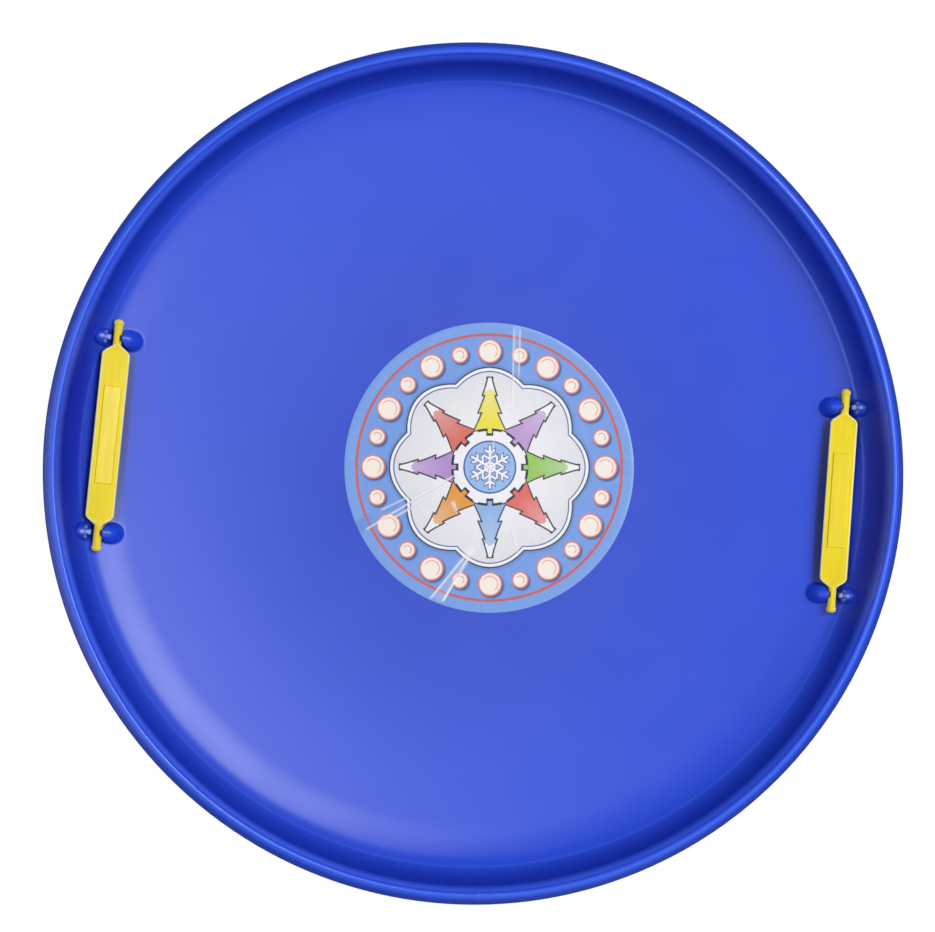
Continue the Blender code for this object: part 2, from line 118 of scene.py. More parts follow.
class Skin:
    """Points and faces of a closed surface in the making. Points within MERGE become one."""

    MERGE = 1e-6

    def __init__(self) -> None:
        """Starts with no points."""
        self.blocks: list[np.ndarray] = []
        self.faces: list[np.ndarray] = []
        self.count = 0

    def add_points(self, points: np.ndarray) -> np.ndarray:
        """Adds points.

        Args:
            points: Places, with the three coordinates last.

        Returns:
            The points' numbers, in the shape of the points' own grid.
        """
        flat = points.reshape(-1, 3)
        numbers = np.arange(self.count, self.count + len(flat)).reshape(points.shape[:-1])
        self.blocks.append(flat)
        self.count += len(flat)
        return numbers

    def add_grid(self, numbers: np.ndarray, closed: bool = False, keep: np.ndarray | None = None) -> None:
        """Adds the four-sided faces between neighbouring rows and columns.

        Args:
            numbers: A grid of points' numbers.
            closed: Whether the last column joins the first.
            keep: One truth value for each face, where some are left out.
        """
        if closed:
            numbers = np.concatenate([numbers, numbers[:, :1]], axis=1)
        corners = (numbers[:-1, :-1], numbers[:-1, 1:], numbers[1:, 1:], numbers[1:, :-1])
        quads = np.stack(corners, axis=-1)
        self.faces.append(quads.reshape(-1, 4) if keep is None else quads[keep])

    def add_fan(self, ring: np.ndarray, centre: np.ndarray) -> None:
        """Closes a ring of points' numbers with triangles to one new point at centre."""
        middle = np.full(len(ring), int(self.add_points(centre[None, :])[0]))
        self.faces.append(np.stack([ring, np.roll(ring, -1), middle], axis=-1))

    def mirrored(self, mirrors: list[tuple[float, float]]) -> "Skin":
        """Copies of the skin, each scaled by 1 or -1 along X and Y, as one skin.

        Args:
            mirrors: The signs of X and of Y for each copy. An odd mirror turns its faces over.

        Returns:
            The skin of all the copies, not yet joined where they meet.
        """
        points = np.concatenate(self.blocks)
        result = Skin()
        for sign_x, sign_y in mirrors:
            start = result.count
            result.add_points(points * (sign_x, sign_y, 1.0))
            step = 1 if sign_x * sign_y > 0 else -1
            result.faces += [faces[:, ::step] + start for faces in self.faces]
        return result

    def make(self, name: str) -> bpy.types.Object:
        """Makes the object, with its doubles merged and its faces pointing out.

        Args:
            name: The object's name.

        Returns:
            The object, at the origin, shaded smooth.
        """
        mesh = bpy.data.meshes.new(name)
        faces = [face for block in self.faces for face in block.tolist()]
        mesh.from_pydata(np.concatenate(self.blocks).tolist(), [], faces)
        work = bmesh.new()
        work.from_mesh(mesh)
        bmesh.ops.remove_doubles(work, verts=work.verts, dist=self.MERGE)
        bmesh.ops.recalc_face_normals(work, faces=work.faces)
        work.to_mesh(mesh)
        work.free()
        mesh.shade_smooth()
        item = bpy.data.objects.new(name, mesh)
        bpy.context.scene.collection.objects.link(item)
        return item


def dress(item: bpy.types.Object, finish: bpy.types.Material) -> None:
    """Gives a piece its finish and reports the piece."""
    item.data.materials.append(finish)
    log.info("%s: %d faces", item.name, len(item.data.polygons))


def add_bar(skin: Skin, outline: np.ndarray, length: float, edge: float) -> None:
    """Adds a bar with rounded ends.

    The outline is carried along Y, half the length each way. Over the edge's width at each
    end its rings follow a quarter circle: they shrink about the outline's middle by
    1 - cosine of the angle while they go out by its sine. A fan closes each end.

    Args:
        skin: Where the bar goes.
        outline: Points as (x, z).
        length: The bar's length.
        edge: Width of the rounded edge.
    """
    middle = outline.mean(axis=0)
    reach = np.abs(outline - middle).max()
    angles = np.linspace(0.0, math.pi / 2, 6)
    out = length / 2 - edge * (1 - np.sin(angles))
    levels = np.concatenate([-out[::-1], out])[:, None, None]
    scales = 1 - edge / reach * (1 - np.cos(angles))
    scales = np.concatenate([scales[::-1], scales])[:, None, None]
    rings = middle + (outline - middle) * scales
    points = np.concatenate([rings[..., :1], levels + 0.0 * rings[..., :1], rings[..., 1:]], axis=-1)
    numbers = skin.add_points(points)
    skin.add_grid(numbers, closed=True)
    skin.add_fan(numbers[0][::-1], np.array([middle[0], -length / 2, middle[1]]))
    skin.add_fan(numbers[-1], np.array([middle[0], length / 2, middle[1]]))


# Shaders


@dataclass(frozen=True)
class Stretch:
    """A stretch of a measure: its middle, half its width, and how wide each end's border is."""

    middle: float
    half: float
    soft: float


class Scalar:
    """A number that a node puts out. Python's operators on it add Math nodes."""

    def __init__(self, graph: "Graph", socket: bpy.types.NodeSocket) -> None:
        """Wraps a socket of a graph."""
        self.graph = graph
        self.socket = socket

    def __add__(self, other: "Scalar | float") -> "Scalar":
        """Sum."""
        return self.graph.math("ADD", self, other)

    def __sub__(self, other: "Scalar | float") -> "Scalar":
        """Difference."""
        return self.graph.math("SUBTRACT", self, other)

    def __rsub__(self, other: float) -> "Scalar":
        """Difference from a number."""
        return self.graph.math("SUBTRACT", other, self)

    def __mul__(self, other: "Scalar | float") -> "Scalar":
        """Product."""
        return self.graph.math("MULTIPLY", self, other)

    def __truediv__(self, other: "Scalar | float") -> "Scalar":
        """Quotient."""
        return self.graph.math("DIVIDE", self, other)

    def __neg__(self) -> "Scalar":
        """Opposite."""
        return self * -1.0

    def __abs__(self) -> "Scalar":
        """Size without sign."""
        return self.graph.math("ABSOLUTE", self)

    def __mod__(self, other: float) -> "Scalar":
        """Remainder, never negative."""
        return self.graph.math("FLOORED_MODULO", self, other)

    __radd__ = __add__
    __rmul__ = __mul__

    def least(self, other: "Scalar | float") -> "Scalar":
        """The smaller of this and another number."""
        return self.graph.math("MINIMUM", self, other)

    def most(self, other: "Scalar | float") -> "Scalar":
        """The larger of this and another number."""
        return self.graph.math("MAXIMUM", self, other)

    def inside(self, soft: float) -> "Scalar":
        """1 where this distance is below zero, 0 where above, over a border soft wide each way."""
        return self.graph.math("MULTIPLY_ADD", self, -0.5 / soft, 0.5, clamp=True)

    def above(self, low: float, high: float) -> "Scalar":
        """0 below low and 1 above high, straight between them."""
        return self.graph.math("MULTIPLY_ADD", self, 1 / (high - low), -low / (high - low), clamp=True)

    def on(self, stretch: Stretch) -> "Scalar":
        """1 on a stretch of this measure, and 0 past its soft ends."""
        return (abs(self - stretch.middle) - stretch.half).inside(stretch.soft)


class Graph:
    """The nodes of one material or of the world."""

    def __init__(self, owner: bpy.types.Material | bpy.types.World) -> None:
        """Empties the owner's node tree and keeps it."""
        owner.use_nodes = True
        self.tree = owner.node_tree
        self.tree.nodes.clear()

    def node(self, kind: str, settings: dict | None = None, inputs: dict | None = None) -> bpy.types.Node:
        """Adds a node.

        Args:
            kind: The node's type.
            settings: Its properties, and under "stops" a ramp's places and colours.
            inputs: Values or links of its sockets, by name or number.

        Returns:
            The node.
        """
        node = self.tree.nodes.new(kind)
        for name, value in (settings or {}).items():
            if name == "stops":
                self._set_stops(node.color_ramp, value)
            else:
                setattr(node, name, value)
        for key, value in (inputs or {}).items():
            source = value.socket if isinstance(value, Scalar) else value
            if isinstance(source, bpy.types.NodeSocket):
                self.tree.links.new(source, node.inputs[key])
            elif isinstance(source, tuple) and len(source) == 3 and node.inputs[key].type == "RGBA":
                node.inputs[key].default_value = (*source, 1.0)
            else:
                node.inputs[key].default_value = source
        return node

    @staticmethod
    def _set_stops(ramp: bpy.types.ColorRamp, stops: list[tuple[float, Colour]]) -> None:
        """Gives a ramp its stops, each a place and a colour, with hard steps."""
        ramp.interpolation = "CONSTANT"
        while len(ramp.elements) < len(stops):
            ramp.elements.new(1.0)
        for element, (place, colour) in zip(ramp.elements, stops):
            element.position = place
            element.color = (*colour, 1.0)

    def math(self, operation: str, *values: Scalar | float, clamp: bool = False) -> Scalar:
        """Adds a Math node.

        Args:
            operation: Its operation.
            values: Its operands.
            clamp: Whether its result is kept between 0 and 1.

        Returns:
            Its result.
        """
        settings = {"operation": operation, "use_clamp": clamp}
        return Scalar(self, self.node("ShaderNodeMath", settings, dict(enumerate(values))).outputs[0])

    def length(self, x: Scalar, y: Scalar) -> Scalar:
        """Length of a flat vector."""
        return self.math("SQRT", x * x + y * y)

    def mix(self, share: Scalar | float, first: object, second: object) -> bpy.types.NodeSocket:
        """Mixes two colours: the first where share is 0, the second where it is 1."""
        inputs = {0: share, 6: first, 7: second}
        return self.node("ShaderNodeMix", {"data_type": "RGBA"}, inputs).outputs[2]

    def ramp(self, place: Scalar, stops: list[tuple[float, Colour]]) -> bpy.types.NodeSocket:
        """A colour picked from hard stops by a number from 0 to 1."""
        return self.node("ShaderNodeValToRGB", {"stops": stops}, {"Fac": place}).outputs["Color"]

    def places(self, source: str = "Object") -> bpy.types.NodeSocket:
        """The surface's own coordinates."""
        return self.node("ShaderNodeTexCoord").outputs[source]

    def split(self, vector: bpy.types.NodeSocket) -> tuple[Scalar, Scalar, Scalar]:
        """The three numbers of a vector."""
        outputs = self.node("ShaderNodeSeparateXYZ", inputs={0: vector}).outputs
        return tuple(Scalar(self, output) for output in outputs)

    def stretched(self, vector: bpy.types.NodeSocket, scale: Colour) -> bpy.types.NodeSocket:
        """A vector times three numbers."""
        inputs = {0: vector, 1: scale}
        return self.node("ShaderNodeVectorMath", {"operation": "MULTIPLY"}, inputs).outputs[0]

    def noise(self, vector: bpy.types.NodeSocket, size: float, detail: float = 2.0) -> Scalar:
        """Smooth noise.

        Args:
            vector: Where it is read.
            size: Size of its largest forms, in metres.
            detail: How many finer layers it has.

        Returns:
            The noise, about 0.5 on average.
        """
        inputs = {"Vector": vector, "Scale": 1 / size, "Detail": detail}
        return Scalar(self, self.node("ShaderNodeTexNoise", inputs=inputs).outputs["Fac"])

    def bump(self, height: Scalar, depth: float, below: object = None) -> bpy.types.NodeSocket:
        """A normal from a height of 0 to 1 that stands for depth metres, over another normal."""
        inputs = {"Height": height, "Distance": depth, "Strength": 1.0}
        if below is not None:
            inputs["Normal"] = below
        return self.node("ShaderNodeBump", inputs=inputs).outputs["Normal"]

    def surface(self, inputs: dict) -> None:
        """Ends the graph in a Principled shader with these inputs."""
        shader = self.node("ShaderNodeBsdfPrincipled", inputs=inputs)
        self.node("ShaderNodeOutputMaterial", inputs={"Surface": shader.outputs[0]})


@dataclass(frozen=True)
class BossMarks:
    """Painted marks round a boss, by distances across its slot and along it from the neck.

    The strip lies beside and under the grip, from its start on. It is plain painted shade,
    which stands in for the photograph's dark edges beside the grips.
    """

    strip: Stretch = Stretch(0.8 * MM, 13.2 * MM, 1.4 * MM)
    strip_start: float = -9.5 * MM
    strip_fade: float = 3.0 * MM
    strip_share: float = 0.6
    # The depth of the slot and its lip are painted shade too.
    depth_across: Stretch = Stretch(1.9 * MM, 4.6 * MM, 1.2 * MM)
    depth_along: Stretch = Stretch(0.0, 7.0 * MM, 1.6 * MM)
    depth_fade: float = 2.0 * MM
    lip_across: Stretch = Stretch(-2.8 * MM, 1.5 * MM, 0.3 * MM)
    lip_along: Stretch = Stretch(0.0, 3.0 * MM, 0.4 * MM)
    lip_share: float = 0.85
    top_rise: Span = (1.6 * MM, 2.6 * MM)
    blot_spacing: float = 3.8 * MM
    blot: Stretch = Stretch(1.9 * MM, 1.3 * MM, 0.5 * MM)
    blot_grain: float = 2.4 * MM
    blot_noise: Span = (0.34, 0.48)
    blots_across: Stretch = Stretch(-0.8 * MM, 1.8 * MM, 0.5 * MM)
    blots_along: Stretch = Stretch(0.0, 5.0 * MM, 0.6 * MM)
    blot_share: float = 0.6
    spot_middle: float = 2.6 * MM
    spot_radius: float = 1.3 * MM
    spot_fade: float = 0.6 * MM
    spot_share: float = 0.5


@dataclass(frozen=True)
class MouldedDish:
    """Satin blue polyethylene, with a fine moulded grain, faint clouding and light scuffs.

    Painted light helps the lamps. The outer floor is painted a little paler than the middle and
    the side, the side is painted darker as shade, and the crest is painted paler as a highlight
    and is smoother still. Painted shade and highlight also make a pale band inside the crest, a
    dark shoulder outside it, a deeper blue beside the grips and a pale line at the foot.
    """

    colour: Colour = srgb(24, 64, 196)
    cloud_colour: Colour = srgb(28, 68, 201)
    floor_light_colour: Colour = srgb(30, 72, 212)
    side_shade_colour: Colour = srgb(18, 54, 182)
    beside_shade_colour: Colour = srgb(6, 32, 174)
    crest_highlight_colour: Colour = srgb(44, 90, 232)
    band_light_colour: Colour = srgb(84, 122, 252)
    shoulder_shade_colour: Colour = srgb(14, 40, 142)
    foot_highlight_colour: Colour = srgb(108, 146, 255)
    slot_shade_colour: Colour = srgb(6, 12, 52)
    pale_mark_colour: Colour = srgb(186, 200, 228)
    scuff_colour: Colour = srgb(92, 118, 220)
    roughness: float = 0.33
    roughness_spread: float = 0.10
    roughness_size: float = 35 * MM
    side_roughness: float = 0.14
    rough_side: Span = (304 * MM, 312 * MM)
    polish: float = 0.08
    polish_rise: Span = (76 * MM, 80 * MM)
    crest_smoothness: float = 0.8
    cloud_size: float = 160 * MM
    cloud_noise: Span = (0.35, 0.65)
    grain_size: float = 0.9 * MM
    grain_depth: float = 0.006 * MM
    wave_size: float = 22 * MM
    wave_depth: float = 0.05 * MM
    floor_light_radii: Span = (130 * MM, 240 * MM)
    side_shade_start: Span = (308 * MM, 316 * MM)
    beside_along: Stretch = Stretch(0.0, 85 * MM, 45 * MM)
    beside_across: Span = (296 * MM, 312 * MM)
    beside_share: float = 0.8
    beside_dimming: float = 0.45
    band_rise: Span = (67 * MM, 76 * MM)
    band_end: Span = (322.4 * MM, 321.2 * MM)
    crest_rise: Span = (79 * MM, 81 * MM)
    shoulder_start: Span = (323.6 * MM, 326.0 * MM)
    shoulder_rise: Span = (66 * MM, 70 * MM)
    shoulder_share: float = 0.75
    foot_highlight: Stretch = Stretch(309.5 * MM, 0.7 * MM, 0.5 * MM)
    foot_highlight_depth: float = 1.2 * MM
    foot_highlight_fade: float = 0.4 * MM
    foot_highlight_growth: float = 1.2
    foot_highlight_loss: float = 0.95
    foot_highlight_least: float = 0.12
    scratch_stretch: Colour = (1.0, 0.12, 1.0)
    scratch_size: float = 2.2 * MM
    scratch_noise: Span = (0.735, 0.80)
    scratch_share: float = 0.34
    patch_size: float = 90 * MM
    patch_noise: Span = (0.60, 0.74)
    rub_size: float = 9 * MM
    rub_noise: Span = (0.56, 0.78)
    rub_share: float = 0.07
    scuff_roughness: float = 0.25
    marks: BossMarks = BossMarks()

    def slots(self, graph: Graph, colour: object, boss: "Boss") -> bpy.types.NodeSocket:
        """Paints each boss's strip, the depth and the lip of its slot, and its pale marks.

        The pale marks are on the half that the neck snaps past: blots along its edge,
        broken up by noise, and a small spot on its top.
        """
        marks = self.marks
        x, y, z = graph.split(graph.places())
        across = abs(x) - boss.middle_x
        along = abs(y) - boss.middle_y
        # Painted shade: a dark strip beside and under the grip.
        strip = across.on(marks.strip) * (along - marks.strip_start).inside(marks.strip_fade)
        colour = graph.mix(strip * marks.strip_share, colour, self.slot_shade_colour)

        # Painted shade: the slot below the neck and the lip in the slot are painted dark.
        lean = across * math.tan(boss.tilt)
        depth = across.on(marks.depth_across) * along.on(marks.depth_along)
        depth = depth * (z - boss.axis_height - lean).inside(marks.depth_fade)
        lip = across.on(marks.lip_across) * along.on(marks.lip_along)
        colour = graph.mix(depth.most(lip * marks.lip_share), colour, self.slot_shade_colour)

        # Pale blots along the outboard half's edge, and a pale spot on its top.
        high = (z - boss.axis_height).above(*marks.top_rise)
        past_wall = across - boss.slot_walls[Half.OUTBOARD]
        blots = ((along + marks.blot_spacing / 2) % marks.blot_spacing).on(marks.blot)
        blots = blots * graph.noise(graph.places(), marks.blot_grain).above(*marks.blot_noise)
        blots = blots * past_wall.on(marks.blots_across) * along.on(marks.blots_along)
        colour = graph.mix(blots * high * marks.blot_share, colour, self.pale_mark_colour)
        spot = graph.length(past_wall - marks.spot_middle, along) - marks.spot_radius
        return graph.mix(spot.inside(marks.spot_fade) * high * marks.spot_share, colour, self.pale_mark_colour)

    def edges(self, graph: Graph, colour: object, section: "DishSection") -> bpy.types.NodeSocket:
        """Paints the side, its top, the crest, the shoulder and the line where the side starts.

        The side is painted darker than the floor, as shade, and a deeper blue beside the grips.
        Its top gets a painted pale band, the crest a painted highlight and the shoulder painted
        shade. The line is a painted highlight, which grows brighter evenly towards the corner
        between +X and +Y.
        """
        x, y, z = graph.split(graph.places())
        distance = graph.length(x, y)
        # Painted shade: the side is painted darker than the floor.
        colour = graph.mix(distance.above(*self.side_shade_start), colour, self.side_shade_colour)
        # Painted shade: a deeper blue on the side beside the grips, which also dims the painted band there.
        beside = y.on(self.beside_along) * abs(x).above(*self.beside_across)
        colour = graph.mix(beside * self.beside_share, colour, self.beside_shade_colour)
        # Painted light: a pale band at the top of the side, inside the crest.
        band = z.above(*self.band_rise) * distance.above(*self.band_end)
        colour = graph.mix(band * (1.0 - beside * self.beside_dimming), colour, self.band_light_colour)
        # Painted highlight: the crest is painted paler.
        colour = graph.mix(z.above(*self.crest_rise), colour, self.crest_highlight_colour)
        # Painted shade: a dark shoulder outside the crest, down the flange.
        shoulder = distance.above(*self.shoulder_start) * z.above(*self.shoulder_rise)
        colour = graph.mix(shoulder * self.shoulder_share, colour, self.shoulder_shade_colour)
        # Painted highlight: a pale line where the side starts, stronger towards the corner between +X and
        # +Y.
        level = float(section.surface_height(np.array(self.foot_highlight.middle), 0.0))
        line = distance.on(self.foot_highlight) * z.on(Stretch(level, self.foot_highlight_depth, self.foot_highlight_fade))
        towards = (x + y) * (self.foot_highlight_growth / section.rim_radius)
        line = line * (towards - self.foot_highlight_loss).most(self.foot_highlight_least)
        return graph.mix(line, colour, self.foot_highlight_colour)

    def scuffs(self, graph: Graph, crest: Scalar) -> Scalar:
        """Where the surface is scuffed: patches of long fine scratches, and rubs on the crest."""
        places = graph.places()
        slanted = graph.stretched(places, self.scratch_stretch)
        scratch = graph.noise(slanted, self.scratch_size, 1.0).above(*self.scratch_noise)
        patch = graph.noise(places, self.patch_size).above(*self.patch_noise)
        rub = graph.noise(places, self.rub_size, 3.0).above(*self.rub_noise) * crest
        return (scratch * patch * self.scratch_share).most(rub * self.rub_share)

    def material(self, section: "DishSection", boss: "Boss") -> bpy.types.Material:
        """Builds the material, with its marks where the dish's edges and bosses are."""
        made = bpy.data.materials.new("blue polyethylene")
        graph = Graph(made)
        places = graph.places()
        x, y, z = graph.split(places)
        distance = graph.length(x, y)
        cloud = graph.noise(places, self.cloud_size, 3.0)
        colour = graph.mix(cloud.above(*self.cloud_noise), self.colour, self.cloud_colour)
        # Painted light: the outer floor is painted a little paler than the middle.
        colour = graph.mix(distance.above(*self.floor_light_radii), colour, self.floor_light_colour)
        colour = self.edges(graph, colour, section)
        colour = self.slots(graph, colour, boss)
        crest = z.above(*self.polish_rise)
        scuff = self.scuffs(graph, crest)
        colour = graph.mix(scuff, colour, self.scuff_colour)

        uneven = 1.0 - crest * self.crest_smoothness
        wave = graph.noise(places, self.wave_size, 1.0) * uneven
        grain = graph.noise(places, self.grain_size) * uneven
        normal = graph.bump(grain, self.grain_depth, graph.bump(wave, self.wave_depth))
        rough = graph.noise(places, self.roughness_size, 4.0) * self.roughness_spread
        rough = rough + (self.roughness - self.roughness_spread / 2) + scuff * self.scuff_roughness
        rough = rough + distance.above(*self.rough_side) * self.side_roughness
        rough = rough - crest * (self.polish + self.side_roughness)
        graph.surface({"Base Color": colour, "Roughness": rough, "Normal": normal, "IOR": 1.5})
        return made


@dataclass(frozen=True)
class MouldedGrip:
    """Yellow flexible polyethylene, painted paler at its thin edges as a highlight, with a smoother pad."""

    colour: Colour = srgb(244, 220, 34)
    deep_colour: Colour = srgb(238, 212, 30)
    edge_highlight_colour: Colour = srgb(250, 242, 168)
    flow_stretch: Colour = (1.0, 0.1, 1.0)
    flow_size: float = 4 * MM
    flow_depth: float = 0.03 * MM
    flow_noise: Span = (0.35, 0.65)
    edge_band: Span = (-1.7 * MM, -0.7 * MM)
    body_fade: float = 0.6 * MM
    pin_band: Span = (-1.4 * MM, -0.1 * MM)
    pin_share: float = 0.75
    tip_band: Span = (-1.6 * MM, -0.6 * MM)
    pad_fade: float = 0.3 * MM
    roughness: float = 0.46
    roughness_spread: float = 0.12
    roughness_size: float = 9 * MM
    grain_size: float = 0.8 * MM
    grain_depth: float = 0.008 * MM
    pad_roughness: float = 0.32
    pad_gloss: float = 0.55
    index: float = 1.32

    def pale_edges(self, across: Scalar, along: Scalar, grip: "StrapGrip") -> Scalar:
        """Where the grip is paler: along its outline, at the sides of its pins and on its tips.

        The distance from the body's outline is the larger of those from the long side and
        from the tapered end.
        """
        past_side = across - grip.half_width
        past_taper = (past_side + (along - grip.shoulder_y) * grip.slant) / math.hypot(1.0, grip.slant)
        edge = past_side.most(past_taper).above(*self.edge_band)
        body = (along - grip.shoulder_y - grip.taper_length).inside(self.body_fade)
        pin = (across - grip.neck_radius).above(*self.pin_band) * self.pin_share
        tip = (along - grip.tip).above(*self.tip_band)
        return (edge * body).most(pin.most(tip) * (1.0 - body))

    def material(self, grip: "StrapGrip") -> bpy.types.Material:
        """Builds the material, with its pad and edges where the grip has them."""
        made = bpy.data.materials.new("yellow polyethylene")
        graph = Graph(made)
        places = graph.places()
        across, along, _ = graph.split(graph.places("UV"))
        across, along = abs(across), abs(along)
        flow = graph.noise(graph.stretched(places, self.flow_stretch), self.flow_size, 3.0)
        colour = graph.mix(flow.above(*self.flow_noise), self.colour, self.deep_colour)
        # Painted highlight: the outline, the sides of the pins and the tips are painted paler.
        colour = graph.mix(self.pale_edges(across, along, grip), colour, self.edge_highlight_colour)
        pad = (across - grip.pad_half_width + grip.pad_slope).inside(self.pad_fade)
        pad = pad * (along - grip.pad_half_length + grip.pad_slope).inside(self.pad_fade)
        rough = graph.noise(places, self.roughness_size, 3.0) * self.roughness_spread
        normal = graph.bump(graph.noise(places, self.grain_size), self.grain_depth)
        graph.surface({
            "Base Color": colour,
            "Roughness": rough + (self.roughness - self.roughness_spread / 2),
            "Coat Weight": pad * self.pad_gloss,
            "Coat Roughness": self.pad_roughness,
            "Normal": graph.bump(flow, self.flow_depth, normal),
            "IOR": self.index,
        })
        return made


@dataclass(frozen=True)
class ClearFilm:
    """A fold of the label's clear cover film, which shows as a milky line."""

    colour: Colour = srgb(244, 246, 250)
    deep_colour: Colour = srgb(214, 224, 240)
    milk_size: float = 3 * MM
    milk_noise: Span = (0.3, 0.7)
    alpha: float = 0.62
    alpha_spread: float = 0.3
    roughness: float = 0.16

    def material(self) -> bpy.types.Material:
        """Builds the material."""
        made = bpy.data.materials.new("clear cover film")
        graph = Graph(made)
        milky = graph.noise(graph.places(), self.milk_size, 3.0)
        graph.surface({
            "Base Color": graph.mix(milky.above(*self.milk_noise), self.colour, self.deep_colour),
            "Roughness": self.roughness,
            "Alpha": milky * self.alpha_spread + (self.alpha - self.alpha_spread / 2),
        })
        return made


# The dish


@dataclass(frozen=True)
class Arc:
    """A round stretch of the dish's section. A positive bend curves upwards."""

    centre_radius: float
    centre_height: float
    bend: float
    first: float = 0.0
    last: float = 0.0

    def point(self, slope: Value, offset: float) -> np.ndarray:
        """Points (radius, height) where the surface, offset below the top side, has these slopes."""
        bend = self.bend + offset
        radius = self.centre_radius + bend * np.sin(slope)
        return np.stack([radius, self.centre_height - bend * np.cos(slope)], axis=-1)

    def height(self, radius: np.ndarray, offset: float) -> np.ndarray:
        """Height of the offset surface over plan radii."""
        bend = self.bend + offset
        sine = np.clip((radius - self.centre_radius) / bend, -1.0, math.sin(self.last))
        return self.centre_height - bend * np.sqrt(1 - sine * sine)


@dataclass(frozen=True)
class DishSection:
    """The dish's section: flat middle, floor, apron, foot, straight side, crest and flange."""

    rim_radius: float
    height: float
    wall: float = 2.6 * MM
    flat_radius: float = 50 * MM
    apron_bend: float = 115 * MM
    foot_bend: float = 30 * MM
    side_rise: float = 11.4 * MM
    crest_bend: float = 5 * MM
    flange_drop: float = 11 * MM
    apron_slope: float = math.radians(28)
    side_slope: float = math.radians(84)
    flange_slope: float = math.radians(86)
    inner_round: float = 2.3 * MM
    outer_round: float = 2.2 * MM
    crest_fall: float = math.radians(20)

    def crest_line(self) -> np.ndarray:
        """Section points over the crest: a small round, a gentle fall and a second small round.

        The first round takes over from the side, carried up along its own slope, and the
        second ends in the flange's slope. A straight line of the fall's slope touches both:
        its rise over the step between the rounds' centres, less what their bends differ by,
        gives the second centre's height, which three rounds of working out settle.
        """
        first, second, fall = self.inner_round, self.outer_round, self.crest_fall
        side = self.crest.point(self.side_slope, 0.0)
        flange = self.crest.point(-self.flange_slope, 0.0)
        height = self.height - first
        rise = height + first * math.cos(self.side_slope) - side[1]
        radius = side[0] + rise / math.tan(self.side_slope) + first * math.sin(self.side_slope)
        low = flange[1]
        for _ in range(3):
            end = low + second * math.cos(self.flange_slope)
            far = flange[0] - (end - flange[1]) / math.tan(self.flange_slope)
            far -= second * math.sin(self.flange_slope)
            step = far - radius + (second - first) * math.sin(fall)
            low = height - (second - first) * math.cos(fall) - step * math.tan(fall)
        slopes = np.linspace(self.side_slope, -fall, 15)
        over = Arc(radius, height, -first).point(slopes, 0.0)
        slopes = np.linspace(-fall, -self.flange_slope, 10)
        down = Arc(far, low, -second).point(slopes, 0.0)
        return np.concatenate([over, np.linspace(over[-1], down[0], 5)[1:-1], down])

    @cached_property
    def crest(self) -> Arc:
        """The crest, which turns from the side over into the flange."""
        fall = self.flange_drop - self.crest_bend * (1 - math.cos(self.flange_slope))
        radius = self.rim_radius - fall / math.tan(self.flange_slope)
        radius -= self.crest_bend * math.sin(self.flange_slope)
        height = self.height - self.crest_bend
        return Arc(radius, height, -self.crest_bend, self.side_slope, -self.flange_slope)

    @cached_property
    def foot(self) -> Arc:
        """The foot, which ends where the straight side starts."""
        radius, height = self.crest.point(self.side_slope, 0.0)
        radius -= self.side_rise / math.tan(self.side_slope) + self.foot_bend * math.sin(self.side_slope)
        height += self.foot_bend * math.cos(self.side_slope) - self.side_rise
        return Arc(radius, height, self.foot_bend, self.apron_slope, self.side_slope)

    @cached_property
    def apron(self) -> Arc:
        """The apron, which runs into the foot: both share a normal where they meet."""
        step = self.apron_bend - self.foot_bend
        radius = self.foot.centre_radius - step * math.sin(self.apron_slope)
        height = self.foot.centre_height + step * math.cos(self.apron_slope)
        return Arc(radius, height, self.apron_bend, self.floor_slope(radius, height), self.apron_slope)

    @cached_property
    def floor(self) -> Arc:
        """The floor, from the flat middle to the apron."""
        bend = self.floor_bend(self.apron.centre_radius, self.apron.centre_height)
        return Arc(self.flat_radius, self.wall + bend, bend, 0.0, self.apron.first)

    def floor_bend(self, radius: float, height: float) -> float:
        """Bend of the floor that meets an apron whose centre is at this radius and height.

        The centres of two arcs that meet smoothly lie as far apart as their bends differ.
        """
        run = radius - self.flat_radius
        rise = height - self.wall
        return (run**2 + rise**2 - self.apron_bend**2) / (2 * (rise - self.apron_bend))

    def floor_slope(self, radius: float, height: float) -> float:
        """Slope where the floor meets an apron whose centre is at this radius and height."""
        step = self.floor_bend(radius, height) - self.apron_bend
        return math.asin((radius - self.flat_radius) / step)

    def surface_height(self, radius: np.ndarray, offset: float) -> np.ndarray:
        """Height of the surface, offset below the top side, over plan radii inside the side."""
        height = np.full_like(radius, self.wall - offset)
        for arc in (self.floor, self.apron, self.foot):
            start = arc.point(arc.first, offset)[0]
            height = np.where(radius > start, arc.height(radius, offset), height)
        return height


class Half(Enum):
    """The two halves of a boss, by the sign of their side of the slot."""

    INBOARD = -1.0
    OUTBOARD = 1.0


